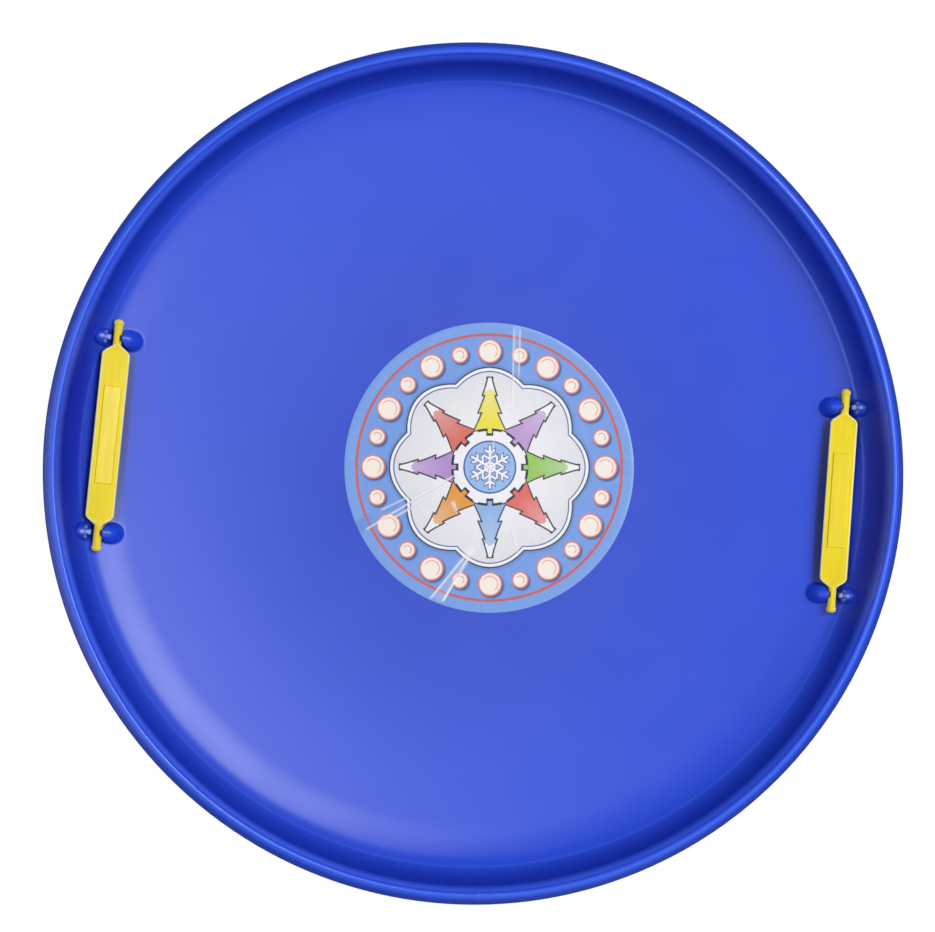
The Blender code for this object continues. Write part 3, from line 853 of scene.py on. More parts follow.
@dataclass(frozen=True)
class Boss:
    """A split boss. Its own coordinates start at the middle of the grip's neck."""

    middle_x: float
    axis_height: float
    middle_y: float = 75.6 * MM
    tilt: float = math.radians(18)
    width: float = 14.6 * MM
    inboard_reach: float = 16.2 * MM
    outboard_reach: float = 19.0 * MM
    neck_radius: float = 3.1 * MM
    cover: float = 2.2 * MM
    running_gap: float = 0.5 * MM
    slot_width: float = 11.0 * MM
    throat: float = 5.0 * MM
    shoulder_flare: float = math.radians(30)
    head_flare: float = math.radians(12)
    corner: float = 1.6 * MM
    lip_length: float = 4.4 * MM
    lip_reach: float = 1.3 * MM
    lip_thickness: float = 1.8 * MM
    lip_tip: float = 0.35
    lip_edge: float = 1.1 * MM
    nose_reach: float = 3.3 * MM
    saddle_length: float = 3.6 * MM
    saddle_wrap: float = math.radians(50)
    saddle_edge: float = 0.25 * MM
    seat_gap: float = 0.3 * MM
    sunk: float = 1.0 * MM
    inboard_heart: float = -10.4 * MM
    outboard_heart: float = 11.9 * MM

    @property
    def slot_walls(self) -> dict[Half, float]:
        """Where each half's slot wall stands at the throat."""
        inboard = -(self.neck_radius + self.running_gap)
        return {Half.INBOARD: inboard, Half.OUTBOARD: inboard + self.slot_width}

    @property
    def hearts(self) -> dict[Half, float]:
        """Where the rays of each half's patch meet, on the boss's middle line."""
        return {Half.INBOARD: self.inboard_heart, Half.OUTBOARD: self.outboard_heart}

    def base(self, section: DishSection) -> float:
        """Height of the dish's floor under the middle of the boss."""
        return float(section.surface_height(np.array(math.hypot(self.middle_x, self.middle_y)), 0.0))

    def spine_distance(self, x: Value, y: Value) -> Value:
        """Distance to the straight line between the centres of the two round ends."""
        start = self.width / 2 - self.inboard_reach
        end = self.outboard_reach - self.width / 2
        return np.hypot(x - np.clip(x, start, end), y)

    def dome(self, section: DishSection, x: Value, y: Value, inset: float) -> Value:
        """Height of the dome, or of its hollow at inset, over a point.

        It is half an ellipse over the distance to the spine, and leans with the grip.
        """
        base = self.base(section)
        crown = self.axis_height + self.neck_radius + self.cover - base - inset
        share = np.clip(self.spine_distance(x, y) / (self.width / 2 - inset), 0.0, 1.0)
        return base + x * math.tan(self.tilt) + crown * np.sqrt(1 - share * share)

    def margin(self, half: Half, x: Value, y: Value, inset: float) -> Value:
        """How far a point lies inside one half's plan: the smaller of two distances, rounded.

        One is the distance in from the boss's outline. The other is the distance from the
        slot's wall, which flares beyond the throat, most on the inboard half's side towards
        the grip's shoulder.
        """
        slope = math.tan(self.head_flare)
        if half is Half.INBOARD:
            slope = np.where(y < 0, math.tan(self.shoulder_flare), slope)
        beyond = smooth_max(np.abs(y) - self.throat / 2, 0.0, self.corner)
        wall = self.slot_walls[half] + half.value * (inset + beyond * slope)
        outline = self.width / 2 - inset - self.spine_distance(x, y)
        return smooth_min(outline, half.value * (x - wall), self.corner)

    def catch_outlines(self, section: DishSection) -> list[tuple[np.ndarray, float, float]]:
        """Sections of the lip, the nose and the saddle, which are sunk into the walls and floor.

        The tops of the lip and the nose fall along a quarter ellipse from root to tip. Both
        ends of the saddle's block reach half way down into the dish's wall.

        Args:
            section: The dish's section.

        Returns:
            For each, its closed outline of points (x, z), its length and its edge's width.
        """
        walls = self.slot_walls
        lip_tip = walls[Half.INBOARD] + self.lip_reach
        nose_tip = walls[Half.OUTBOARD] - self.nose_reach
        seat = self.neck_radius + self.seat_gap
        under = math.sqrt(seat**2 - lip_tip**2)
        found = []
        fall = np.linspace(0.0, math.pi / 2, 9)
        for half, tip in ((Half.INBOARD, lip_tip), (Half.OUTBOARD, nose_tip)):
            root = walls[half] + half.value * self.sunk
            curve_x = root + (tip - root) * np.cos(fall)
            curve_z = under + self.lip_thickness * (self.lip_tip + (1 - self.lip_tip) * np.sin(fall))
            top = np.column_stack([curve_x, curve_z])
            points = np.concatenate([[(root, under), (tip, under)], top])
            found.append((points, self.lip_length, self.lip_edge))
        turns = np.linspace(self.saddle_wrap, -self.saddle_wrap, 13)
        shelf = -seat * math.cos(self.saddle_wrap)
        left = walls[Half.INBOARD] - self.sunk
        right = walls[Half.OUTBOARD] + self.sunk
        away = np.hypot(self.middle_x + np.array([left, right]), self.middle_y)
        lows = section.surface_height(away, section.wall / 2) - self.axis_height
        block = [(left, shelf), (left, lows[0]), (right, lows[1]), (right, shelf)]
        bowl = np.column_stack([seat * np.sin(turns), -seat * np.cos(turns)])
        found.append((np.concatenate([block, bowl]), self.saddle_length, self.saddle_edge))
        return found


@dataclass(frozen=True)
class Sheet:
    """How one side of the dish carries its boss patches."""

    offset: float
    inset: float
    fillet: float
    shoulder: float
    steps: tuple[int, int, int]


@dataclass(frozen=True)
class Window:
    """A part of the dish's grid that a boss half takes up, by radii and degrees."""

    half: Half
    inner: float
    outer: float
    first_turn: float
    last_turn: float


class SaucerShell:
    """The whole blue moulding: the dish, its four bosses and their hollows."""

    PIECE = "saucer_shell_moulding"
    CATCHES = "boss_catches"
    CATCH_CREASE = math.radians(40)
    HALVINGS = 40
    FILLET_SHARE = 0.6
    SHOULDER_SHARE = 0.3
    DOME_SPREAD = 1.3
    STEP = 0.05 * MM
    BAND_START = 275.6 * MM
    STEEP_START = 308.0 * MM
    WINDOWS = (
        Window(Half.INBOARD, 275.6 * MM, 298.8 * MM, 12.8, 17.6),
        Window(Half.OUTBOARD, 300.8 * MM, 317.6 * MM, 12.0, 16.4),
    )
    QUARTERS = [(1.0, 1.0), (-1.0, 1.0), (-1.0, -1.0), (1.0, -1.0)]

    def __init__(self, section: DishSection, boss: Boss) -> None:
        """Keeps the dish's section and the boss that is mirrored to four places."""
        self.section = section
        self.boss = boss
        self.top = Sheet(0.0, 0.0, 1.7 * MM, 0.9 * MM, (4, 14, 12))
        self.under = Sheet(section.wall, 2.0 * MM, 1.0 * MM, 0.8 * MM, (3, 9, 8))

    def sheet_line(self, offset: float, floor_steps: int, band_steps: int, foot_steps: int) -> np.ndarray:
        """Section points (radius, height) of one side, from the middle to the top of the side.

        Args:
            offset: How far the side lies below the top side.
            floor_steps: Steps from the flat to the band that holds the bosses.
            band_steps: Steps over the band's gentle part.
            foot_steps: Steps over its steep part, even in slope.

        Returns:
            The points.
        """
        section = self.section
        flat = np.linspace(0.0, section.flat_radius, 5)
        floor = np.linspace(section.flat_radius, self.BAND_START, floor_steps + 1)[1:]
        band = np.linspace(self.BAND_START, self.STEEP_START, band_steps + 1)[1:]
        radii = np.concatenate([flat, floor, band])
        gentle = np.column_stack([radii, section.surface_height(radii, offset)])
        bend = section.foot.bend + offset
        slope = math.asin((self.STEEP_START - section.foot.centre_radius) / bend)
        slopes = np.linspace(slope, section.side_slope, foot_steps + 1)[1:]
        steep = section.foot.point(slopes, offset)
        side = np.linspace(steep[-1], section.crest.point(section.side_slope, offset), 5)[1:]
        return np.concatenate([gentle, steep, side])

    def rim_line(self) -> np.ndarray:
        """Section points over the crest, down the flange, round its end and back inside."""
        section = self.section
        over = section.crest_line()
        slopes = np.linspace(section.side_slope, -section.flange_slope, 12)[1:]
        back = section.crest.point(slopes, section.wall)[::-1]
        radius = section.wall / 2
        end = np.array([section.rim_radius - radius, section.height - section.flange_drop + radius])
        turns = np.linspace(0.0, -math.pi, 9)
        round_end = end + radius * np.column_stack([np.cos(turns), np.sin(turns)])
        outside = np.linspace(over[-1], round_end[0], 4)[1:-1]
        inside = np.linspace(round_end[-1], back[0], 4)[1:-1]
        return np.concatenate([over, outside, round_end, inside, back])

    def turns(self) -> np.ndarray:
        """Angles of the quarter's columns, in degrees: close together where the bosses are."""
        near = np.linspace(0.0, 12.0, 9)
        bosses = np.linspace(12.0, 17.6, 29)[1:]
        far = np.linspace(17.6, 90.0, 40)[1:]
        return np.concatenate([near, bosses, far])

    def add_patch(
        self, skin: Skin, border: np.ndarray, numbers: np.ndarray, half: Half, sheet: Sheet
    ) -> None:
        """Fills a window's border with one boss half.

        Each point of the border has a straight ray to the heart of the half. Halving finds
        where the ray meets the half's foot line, where the dome leaves the dish's surface or
        the slot's wall stands. From the border the surface follows the dish nearly to the
        foot line, then a cubic curve, whose two inner handles stand over the foot line, turns
        up and over, and the rest follows the dome to the heart.

        Args:
            skin: Where the patch goes.
            border: The border's points, in order round the window.
            numbers: Their numbers in the skin.
            half: Which half of the boss.
            sheet: Top side or underside.
        """
        boss, section = self.boss, self.section
        heart = np.array([boss.hearts[half], 0.0])
        rays = border[:, :2] - (boss.middle_x, boss.middle_y) - heart
        reach = np.hypot(*rays.T)
        rays = rays / reach[:, None]

        def plan(distance: np.ndarray) -> tuple[np.ndarray, np.ndarray]:
            """Boss coordinates of points at distances along the rays."""
            return heart[0] + rays[:, 0] * distance, heart[1] + rays[:, 1] * distance

        def floor(distance: np.ndarray) -> np.ndarray:
            """Height of the dish's surface at distances along the rays."""
            x, y = plan(distance)
            return section.surface_height(np.hypot(boss.middle_x + x, boss.middle_y + y), sheet.offset)

        def dome(distance: np.ndarray) -> np.ndarray:
            """Height of the dome at distances along the rays."""
            return boss.dome(section, *plan(distance), sheet.inset)

        low, high = np.zeros_like(reach), reach.copy()
        for _ in range(self.HALVINGS):
            middle = (low + high) / 2
            rise = dome(middle) - floor(middle)
            within = np.minimum(boss.margin(half, *plan(middle), sheet.inset), rise) > 0
            low, high = np.where(within, middle, low), np.where(within, high, middle)
        foot = low
        fillet = np.minimum(sheet.fillet, self.FILLET_SHARE * (reach - foot))
        shoulder = np.minimum(sheet.shoulder, self.SHOULDER_SHARE * foot)

        floor_steps, turn_steps, dome_steps = sheet.steps
        share = (np.arange(1, floor_steps + 1) / floor_steps)[:, None]
        distances = [reach + (foot + fillet - reach) * share]
        heights = [floor(distances[0])]

        top = dome(foot - shoulder)
        pitch = (dome(foot - shoulder - self.STEP) - top) / self.STEP
        handle = np.maximum(top - pitch * shoulder, floor(foot) + self.STEP)
        t = (np.arange(1, turn_steps + 1) / turn_steps)[:, None]
        weights = ((1 - t) ** 3, 3 * (1 - t) ** 2 * t, 3 * (1 - t) * t**2, t**3)
        knots = (foot + fillet, foot, foot, foot - shoulder)
        levels = (floor(foot + fillet), floor(foot), handle, top)
        distances.append(sum(w * k for w, k in zip(weights, knots)))
        heights.append(sum(w * z for w, z in zip(weights, levels)))

        share = (np.arange(1, dome_steps) / dome_steps)[:, None]
        distances.append((foot - shoulder) * (1 - share**self.DOME_SPREAD))
        heights.append(dome(distances[2]))

        x, y = plan(np.concatenate(distances))
        rings = np.stack([boss.middle_x + x, boss.middle_y + y, np.concatenate(heights)], axis=-1)
        loops = np.concatenate([numbers[None, :], skin.add_points(rings)])
        skin.add_grid(loops, closed=True)
        peak = boss.dome(section, heart[0], heart[1], sheet.inset)
        skin.add_fan(loops[-1], np.array([boss.middle_x + heart[0], boss.middle_y, peak]))

    def quarter(self) -> Skin:
        """A quarter of the moulding, from the X axis to the Y axis."""
        top = self.sheet_line(0.0, 30, 29, 14)
        under = self.sheet_line(self.section.wall, 20, 20, 9)[::-1]
        line = np.concatenate([top, self.rim_line(), under])
        turns = self.turns()
        angles = np.radians(turns)
        radius, height = line[:, :1], line[:, 1:]
        points = [radius * np.cos(angles), radius * np.sin(angles), height + 0.0 * angles]
        points = np.stack(points, axis=-1)
        skin = Skin()
        numbers = skin.add_points(points)
        keep = np.ones((len(line) - 1, len(turns) - 1), bool)
        patches = []
        under_start = len(line) - len(under)
        for sheet, start, part in ((self.top, 0, top), (self.under, under_start, under)):
            for window in self.WINDOWS:
                ends = [start + int(np.argmin(np.abs(part[:, 0] - r))) for r in (window.inner, window.outer)]
                rows = slice(min(ends), max(ends))
                left = int(np.argmin(np.abs(turns - window.first_turn)))
                columns = slice(left, int(np.argmin(np.abs(turns - window.last_turn))))
                keep[rows, columns] = False
                block = numbers[rows.start:rows.stop + 1, columns.start:columns.stop + 1]
                border = np.concatenate([block[0, :-1], block[:-1, -1], block[-1, :0:-1], block[:0:-1, 0]])
                patches.append((border, window.half, sheet))
        skin.add_grid(numbers, keep=keep)
        flat = points.reshape(-1, 3)
        for border, half, sheet in patches:
            self.add_patch(skin, flat[border], border, half, sheet)
        return skin

    def build(self, finish: bpy.types.Material) -> None:
        """Builds the moulding and the small catches in its slots."""
        shell = self.quarter().mirrored(self.QUARTERS).make(self.PIECE)
        dress(shell, finish)
        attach(shell, "sled")
        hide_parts("saucer_shell")
        catches = self.catches()
        dress(catches, finish)
        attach(catches, "sled")

    def catches(self) -> bpy.types.Object:
        """The lip, nose and saddle of each slot, as small bars sunk into its walls and floor."""
        boss = self.boss
        skin = Skin()
        for outline, length, edge in boss.catch_outlines(self.section):
            add_bar(skin, outline, length, edge)
        moved = Skin()
        for block in skin.blocks:
            moved.add_points(block + (boss.middle_x, boss.middle_y, boss.axis_height))
        moved.faces = skin.faces
        item = moved.mirrored(self.QUARTERS).make(self.CATCHES)
        item.data.set_sharp_from_angle(angle=self.CATCH_CREASE)
        return item


# The strap grips


@dataclass(frozen=True)
class StrapGrip:
    """A strap grip: a flat body with a pad, tapered ends, narrow necks and button heads."""

    axis_x: float
    axis_height: float
    tip: float
    tilt: float = math.radians(18)
    half_width: float = 10.55 * MM
    half_thickness: float = 2.0 * MM
    edge_round: float = 1.2 * MM
    shoulder_y: float = 64.0 * MM
    taper_length: float = 6.3 * MM
    neck_radius: float = 3.1 * MM
    stem_radius: float = 3.3 * MM
    neck_length: float = 6.0 * MM
    head_radius: float = 3.9 * MM
    head_nose: float = 3.4 * MM
    head_back: float = 1.6 * MM
    pad_half_length: float = 38.4 * MM
    pad_half_width: float = 6.85 * MM
    pad_rise: float = 0.8 * MM
    pad_slope: float = 0.9 * MM
    crown: float = 0.15 * MM

    @property
    def slant(self) -> float:
        """How fast the tapered ends narrow, on each side, along the grip."""
        return (self.half_width - 0.8 * self.neck_radius) / self.taper_length

    def pin_radius(self, y: np.ndarray) -> np.ndarray:
        """Radius of the round neck, stem and head at distances y from the middle.

        The stem widens evenly after the neck, and the head is half a super-ellipse each way.
        """
        neck_end = self.shoulder_y + self.taper_length + self.neck_length
        middle = self.tip - self.head_nose
        stem = self.neck_radius
        stem = stem + (self.stem_radius - self.neck_radius) * smooth_step(y, neck_end - 3 * MM, middle)
        reach = np.where(y > middle, self.head_nose, self.head_back)
        share = np.clip(np.abs(y - middle) / reach, 0.0, 1.0)
        head = self.head_radius * (1 - share**2.4) ** (1 / 2.4)
        stem = np.where(y > middle, 0.0, stem)
        return np.maximum(smooth_max(stem, head, 0.8 * MM) * (y < self.tip - 0.01 * MM), 0.0)

    def stations(self) -> np.ndarray:
        """Distances from the middle where the section is worked out, closest where it changes."""
        shoulder = self.shoulder_y
        neck = shoulder + self.taper_length
        parts = [
            np.linspace(0.0, self.pad_half_length - 1.8 * MM, 12),
            np.linspace(self.pad_half_length - 1.2 * MM, self.pad_half_length + 0.4 * MM, 11),
            np.linspace(self.pad_half_length + 1.5 * MM, shoulder - 4 * MM, 8),
            np.linspace(shoulder - 3.4 * MM, shoulder + 2 * MM, 12),
            np.linspace(shoulder + 2.6 * MM, neck - 1.4 * MM, 6),
            np.linspace(neck - 1.0 * MM, neck + 2.5 * MM, 9),
            np.linspace(neck + 3.5 * MM, self.tip - self.head_nose - self.head_back - 1 * MM, 8),
            self.tip - self.head_nose - self.head_back * np.linspace(1.2, 0.0, 10)[:-1],
            self.tip - self.head_nose * (1 - np.sin(np.linspace(0.0, math.pi / 2, 12))),
        ]
        half = np.concatenate(parts)
        return np.concatenate([-half[:0:-1], half])

    def rays(self) -> np.ndarray:
        """Angles round the section: even on its sides, and on its top close at the pad's edges."""
        pad = np.linspace(0.54, 0.67, 9)
        top = np.arctan2(1.0, np.concatenate([[0.0, 0.15, 0.3, 0.45], pad, [0.73, 0.80, 0.87, 0.93, 1.0]]))
        side = np.linspace(math.pi / 4, 0.0, 7)[1:-1]
        quarter = np.concatenate([top, side])
        upper = np.concatenate([[0.0], quarter[::-1], math.pi - quarter[1:], [math.pi]])
        return np.concatenate([upper, -upper[-2:0:-1]])

    def surface(self) -> np.ndarray:
        """The grip's points, flat and with its axis along Y through the origin.

        At each station the section is a rectangle with round corners, found along each ray
        from its middle. The corners' radius grows from the edge round to the neck's own
        radius over the taper, which makes the section a circle there. The pad is a step up
        of the top, smooth over the width of its slope.
        """
        y = self.stations()[:, None]
        away = np.abs(y)
        pin = self.pin_radius(away)
        neck = self.shoulder_y + self.taper_length
        taper = self.half_width - (away - self.shoulder_y) * self.slant
        width = smooth_min(self.half_width, taper, 2.6 * MM)
        width = np.where(away < neck + 3 * MM, smooth_max(width, pin, 1.2 * MM), pin)
        blend = smooth_step(away, self.shoulder_y, neck + 0.6 * MM)
        thick = self.half_thickness * (1 - blend) + pin * blend
        corner = np.minimum(self.edge_round * (1 - blend) + thick * blend, thick) * 0.999
        corner = np.minimum(corner, width)
        turn = self.rays()[None, :]
        run = width * np.cos(turn)
        rise = thick * np.sin(turn)
        length = np.maximum(np.hypot(run, rise), 1e-9)
        run, rise = run / length, rise / length
        flat = thick / np.maximum(np.abs(rise), 1e-9)
        upright = width / np.maximum(np.abs(run), 1e-9)
        corner_x, corner_z = width - corner, thick - corner
        along = np.abs(run) * corner_x + np.abs(rise) * corner_z
        square = np.maximum(along**2 - (corner_x**2 + corner_z**2 - corner**2), 0.0)
        reach = along + np.sqrt(square)
        reach = np.where(np.abs(run) * flat <= corner_x, flat, reach)
        reach = np.where(np.abs(rise) * upright <= corner_z, upright, reach)
        x, z = run * reach, rise * reach
        upper = smooth_step(z, 0.0, self.half_thickness)
        inner = self.pad_half_width - self.pad_slope
        pad = 1 - smooth_step(np.abs(x), inner, inner + self.pad_slope)
        pad = pad * (1 - smooth_step(away, self.pad_half_length - self.pad_slope, self.pad_half_length))
        body = 1 - blend
        crown = self.crown * (1 - (x / self.half_width) ** 2) * body
        z = z + upper * (self.pad_rise * pad + crown)
        return np.stack([x, y + 0.0 * x, z], axis=-1)

    def build(self, name: str, replaced: str, body: str, side: float, finish: bpy.types.Material) -> None:
        """Builds one grip in its place.

        Args:
            name: The piece's name.
            replaced: The CAD node that it stands for.
            body: The body that it rides on.
            side: 1 on the +X side and -1 on the other, which is half a turn round.
            finish: Its material.
        """
        flat = self.surface()
        x, y, z = flat[..., 0], flat[..., 1], flat[..., 2]
        out = self.axis_x + x * math.cos(self.tilt) - z * math.sin(self.tilt)
        up = self.axis_height + x * math.sin(self.tilt) + z * math.cos(self.tilt)
        skin = Skin()
        numbers = skin.add_points(np.stack([side * out, side * y, up], axis=-1))
        skin.add_grid(numbers, closed=True)
        item = skin.make(name)
        self.map_surface(item, side)
        dress(item, finish)
        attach(item, body)
        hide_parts(replaced)

    def map_surface(self, item: bpy.types.Object, side: float) -> None:
        """Gives the grip a UV map of metres across and along it."""
        mesh = item.data
        places = np.empty(len(mesh.vertices) * 3, np.float32)
        mesh.vertices.foreach_get("co", places)
        places = places.reshape(-1, 3)
        across = (side * places[:, 0] - self.axis_x) * math.cos(self.tilt)
        across += (places[:, 2] - self.axis_height) * math.sin(self.tilt)
        corners = np.empty(len(mesh.loops), np.int32)
        mesh.loops.foreach_get("vertex_index", corners)
        pairs = np.column_stack([across, side * places[:, 1]])[corners]
        mesh.uv_layers.new(name="across_along").data.foreach_set("uv", pairs.astype(np.float32).ravel())


# The label


@dataclass(frozen=True)
class Fold:
    """A fold of the label's cover film, from one place to another on the label."""

    first: tuple[float, float]
    last: tuple[float, float]
    width: float
    share: float

    @classmethod
    def of_mm(cls, x0: float, y0: float, x1: float, y1: float, width: float, share: float) -> "Fold":
        """A fold from its two places and its half width in millimetres, and how milky it is."""
        return cls((x0 * MM, y0 * MM), (x1 * MM, y1 * MM), width * MM, share)

    @property
    def length(self) -> float:
        """Its length."""
        return math.dist(self.first, self.last)

    @property
    def ahead(self) -> tuple[float, float]:
        """Its direction."""
        return tuple((b - a) / self.length for a, b in zip(self.first, self.last))


@dataclass(frozen=True)
class LabelArt:
    """The label's print: a round winter pattern of plain snowballs, pines and a snow crystal.

    Its own coordinates start at the label's middle and are turned with it. Shares of the
    crystal are of its radius. Soft is the width of a printed edge.
    """

    centre_x: float
    centre_y: float
    radius: float
    turn: float = math.radians(4.94)
    soft: float = 0.22 * MM
    ring_radius: float = 109.5 * MM
    ring_half: float = 1.15 * MM
    ball_ring: float = 96 * MM
    ball_count: int = 24
    ball_size: float = 10 * MM
    ball_step: float = 3.0 * MM
    ball_rim: float = 1.3 * MM
    ball_line: Stretch = Stretch(-3.7 * MM, 0.4 * MM, 0.22 * MM)
    ball_line_share: float = 0.8
    shadow_x: float = 1.1 * MM
    shadow_y: float = -1.3 * MM
    shadow_growth: float = 0.4 * MM
    shadow_fade: float = 1.1 * MM
    shadow_share: float = 0.85
    drift_radius: float = 74 * MM
    drift_lobe: float = 8.5 * MM
    drift_shadow: float = 1.4 * MM
    drift_fade: float = 2.4 * MM
    drift_share: float = 0.5
    drift_ink: float = 0.6 * MM
    drift_white: float = -0.5 * MM
    drift_line: Stretch = Stretch(-3.4 * MM, 0.5 * MM, 0.22 * MM)
    pine_count: int = 8
    pine_base: float = 32 * MM
    pine_height: float = 42 * MM
    pine_width: float = 12.8 * MM
    pine_taper: float = 0.86
    pine_tiers: float = 3.0
    tier_taper: float = 0.36
    pine_lean: float = 0.8
    pine_bow: float = 12.0
    pine_line: float = 1.1 * MM
    pine_light: float = 0.35
    trunk_half: float = 1.8 * MM
    trunk_length: float = 4.0 * MM
    cap_start: float = 0.76
    cap_waves: float = 1.6 / MM
    cap_drip: float = 1.1 * MM
    pond_radius: float = 22 * MM
    pond_rim: float = 1.3 * MM
    crystal_margin: float = 4.2 * MM
    crystal_arm: float = 0.055
    crystal_line: float = 0.05
    crystal_hub: float = 0.22
    crystal_rim: float = 0.7 * MM
    barbs: tuple[Span, ...] = ((0.38, 0.30), (0.66, 0.24))
    barb_angle: float = math.radians(60)
    gloss_size: float = 14 * MM
    gloss_spread: float = 0.12
    roughness: float = 0.20
    slack_stretch: Colour = (1.0, 0.35, 1.0)
    slack_size: float = 26 * MM
    slack_depth: float = 0.25 * MM
    band: Colour = srgb(120, 160, 226)
    sky: Colour = srgb(116, 156, 224)
    snow: Colour = srgb(224, 224, 229)
    white: Colour = srgb(240, 240, 243)
    red: Colour = srgb(196, 98, 96)
    navy: Colour = srgb(66, 82, 158)
    ink: Colour = srgb(30, 32, 52)
    cream: Colour = srgb(246, 236, 226)
    ball_red: Colour = srgb(222, 128, 112)
    shade: Colour = srgb(46, 62, 112)
    ice: Colour = srgb(150, 186, 232)
    glare: Colour = srgb(250, 250, 252)
    lifted: Colour = srgb(92, 136, 208)
    pine_colours: tuple[Colour, ...] = (
        srgb(236, 222, 60),
        srgb(186, 150, 206),
        srgb(146, 194, 84),
        srgb(222, 104, 96),
        srgb(140, 178, 226),
        srgb(226, 152, 62),
        srgb(176, 140, 202),
        srgb(214, 112, 100),
    )
    folds: tuple[Fold, ...] = (
        Fold.of_mm(-49.9, -108.4, -13.3, -65.1, 0.7, 0.75),
        Fold.of_mm(-39.6, -111.0, -10.1, -61.9, 0.9, 0.85),
        Fold.of_mm(-102.8, -52.1, -23.1, -3.2, 0.7, 0.60),
        Fold.of_mm(-90.5, -36.0, -34.0, -9.0, 0.6, 0.50),
        Fold.of_mm(-80.1, -42.3, -50.4, -25.0, 0.9, 0.55),
        Fold.of_mm(20.1, 116.0, 18.5, 44.0, 0.6, 0.50),
        Fold.of_mm(25.1, 115.0, 24.2, 71.9, 0.6, 0.45),
        Fold.of_mm(-31.2, -27.6, -26.3, -39.1, 1.2, 0.80),
        Fold.of_mm(13.4, -42.9, 23.6, -72.0, 1.1, 0.75),
        Fold.of_mm(4.5, 30.0, -2.0, -14.0, 0.6, 0.35),
    )
    glares: tuple[Fold, ...] = (
        Fold.of_mm(-45.0, -110.0, -11.5, -63.0, 4.2, 0.14),
        Fold.of_mm(22.8, 121.0, 21.5, 60.0, 2.4, 0.10),
    )
    lifts: tuple[Fold, ...] = (Fold.of_mm(-122.0, -55.0, -94.0, -43.0, 5.0, 0.60),)
    fold_start: Span = (0.0, 3 * MM)
    fold_end: float = 9 * MM
    fold_fade: float = 0.55 * MM

    def material(self) -> bpy.types.Material:
        """Builds the printed film's material, layer over layer."""
        made = bpy.data.materials.new("printed film")
        graph = Graph(made)
        places = graph.places()
        shift = (-self.centre_x, -self.centre_y, 0.0)
        moved = graph.node("ShaderNodeMapping", inputs={"Vector": places, "Location": shift}).outputs[0]
        turn = (0.0, 0.0, -self.turn)
        own = graph.node("ShaderNodeMapping", inputs={"Vector": moved, "Rotation": turn}).outputs[0]
        u, v, _ = graph.split(own)
        away = graph.length(u, v)
        angle = graph.math("ARCTAN2", u, v)
        colour = self.ground(graph, away, angle)
        colour = self.snowballs(graph, colour, u, v, angle)
        colour = self.pines(graph, colour, away, angle)
        colour = self.pond(graph, colour, away, angle)
        colour = self.creases(graph, colour, u, v)
        rough = graph.noise(places, self.gloss_size, 3.0) * self.gloss_spread + self.roughness
        slack = graph.noise(graph.stretched(own, self.slack_stretch), self.slack_size)
        normal = graph.bump(slack, self.slack_depth)
        graph.surface({"Base Color": colour, "Roughness": rough, "Normal": normal, "IOR": 1.5})
        return made

    def ground(self, graph: Graph, away: Scalar, angle: Scalar) -> bpy.types.NodeSocket:
        """Band, red ring, sky, and a snowdrift whose edge has one lobe round each pine.

        The drift's radius is its least one plus the size of a cosine of half as many waves
        as lobes, so that its lobes meet in notches.
        """
        past_ring = away - self.ring_radius
        colour = graph.mix(past_ring.inside(self.soft), self.band, self.sky)
        colour = graph.mix((abs(past_ring) - self.ring_half).inside(self.soft * 2), colour, self.red)
        lobes = abs(graph.math("COSINE", angle * (self.pine_count / 2))) * self.drift_lobe
        drift = away - lobes - self.drift_radius
        shadow = (drift - self.drift_shadow).inside(self.drift_fade) * self.drift_share
        colour = graph.mix(shadow, colour, self.shade)
        colour = graph.mix((drift - self.drift_ink).inside(self.soft), colour, self.ink)
        colour = graph.mix((drift - self.drift_white).inside(self.soft), colour, self.white)
        grey = graph.mix(away.above(self.pond_radius, self.drift_radius), self.white, self.snow)
        within = (drift - self.drift_line.middle).inside(self.soft * 2)
        colour = graph.mix(within, colour, grey)
        return graph.mix(drift.on(self.drift_line), colour, self.navy)

    def pond(self, graph: Graph, colour: object, away: Scalar, angle: Scalar) -> bpy.types.NodeSocket:
        """A round frozen pond in the middle, with a dark rim and one snow crystal.

        The crystal has six arms. The angle is folded onto half an arm, whose two barbs
        stand at an angle to it, and a small ring joins the arms.
        """
        rim = away - self.pond_radius
        colour = graph.mix(rim.inside(self.soft), colour, self.navy)
        colour = graph.mix((rim + self.pond_rim).inside(self.soft), colour, self.ice)
        radius = self.pond_radius - self.crystal_margin
        half_line = radius * self.crystal_line
        fold = abs((angle + math.pi / 6) % (math.pi / 3) - math.pi / 6)
        along = away * graph.math("COSINE", fold)
        aside = away * graph.math("SINE", fold)
        shape = (aside - radius * self.crystal_arm).most(along - radius)
        for start, length in self.barbs:
            slant = (along - radius * start) * math.sin(self.barb_angle) - aside * math.cos(self.barb_angle)
            shape = shape.least((abs(slant) - half_line).most(aside - radius * length))
        shape = shape.least(abs(away - radius * self.crystal_hub) - half_line)
        colour = graph.mix((shape - self.crystal_rim).inside(self.soft), colour, self.navy)
        return graph.mix(shape.inside(self.soft), colour, self.white)

    def pine(self, x: Scalar, y: Scalar) -> Scalar:
        """The distance outside a pine and its trunk, from the place over its foot.

        Its half width falls in tiers: it shrinks evenly to its tip, and within each tier it
        narrows and springs out again.
        """
        rise = y / self.pine_height
        tier = (rise * self.pine_tiers) % 1.0
        half = (1.0 - rise * self.pine_taper) * (1.0 - tier * self.tier_taper) * self.pine_width
        shape = ((x - half) * self.pine_lean).most(-y).most(y - self.pine_height)
        trunk = (x - self.trunk_half).most(y).most(-y - self.trunk_length)
        return shape.least(trunk)

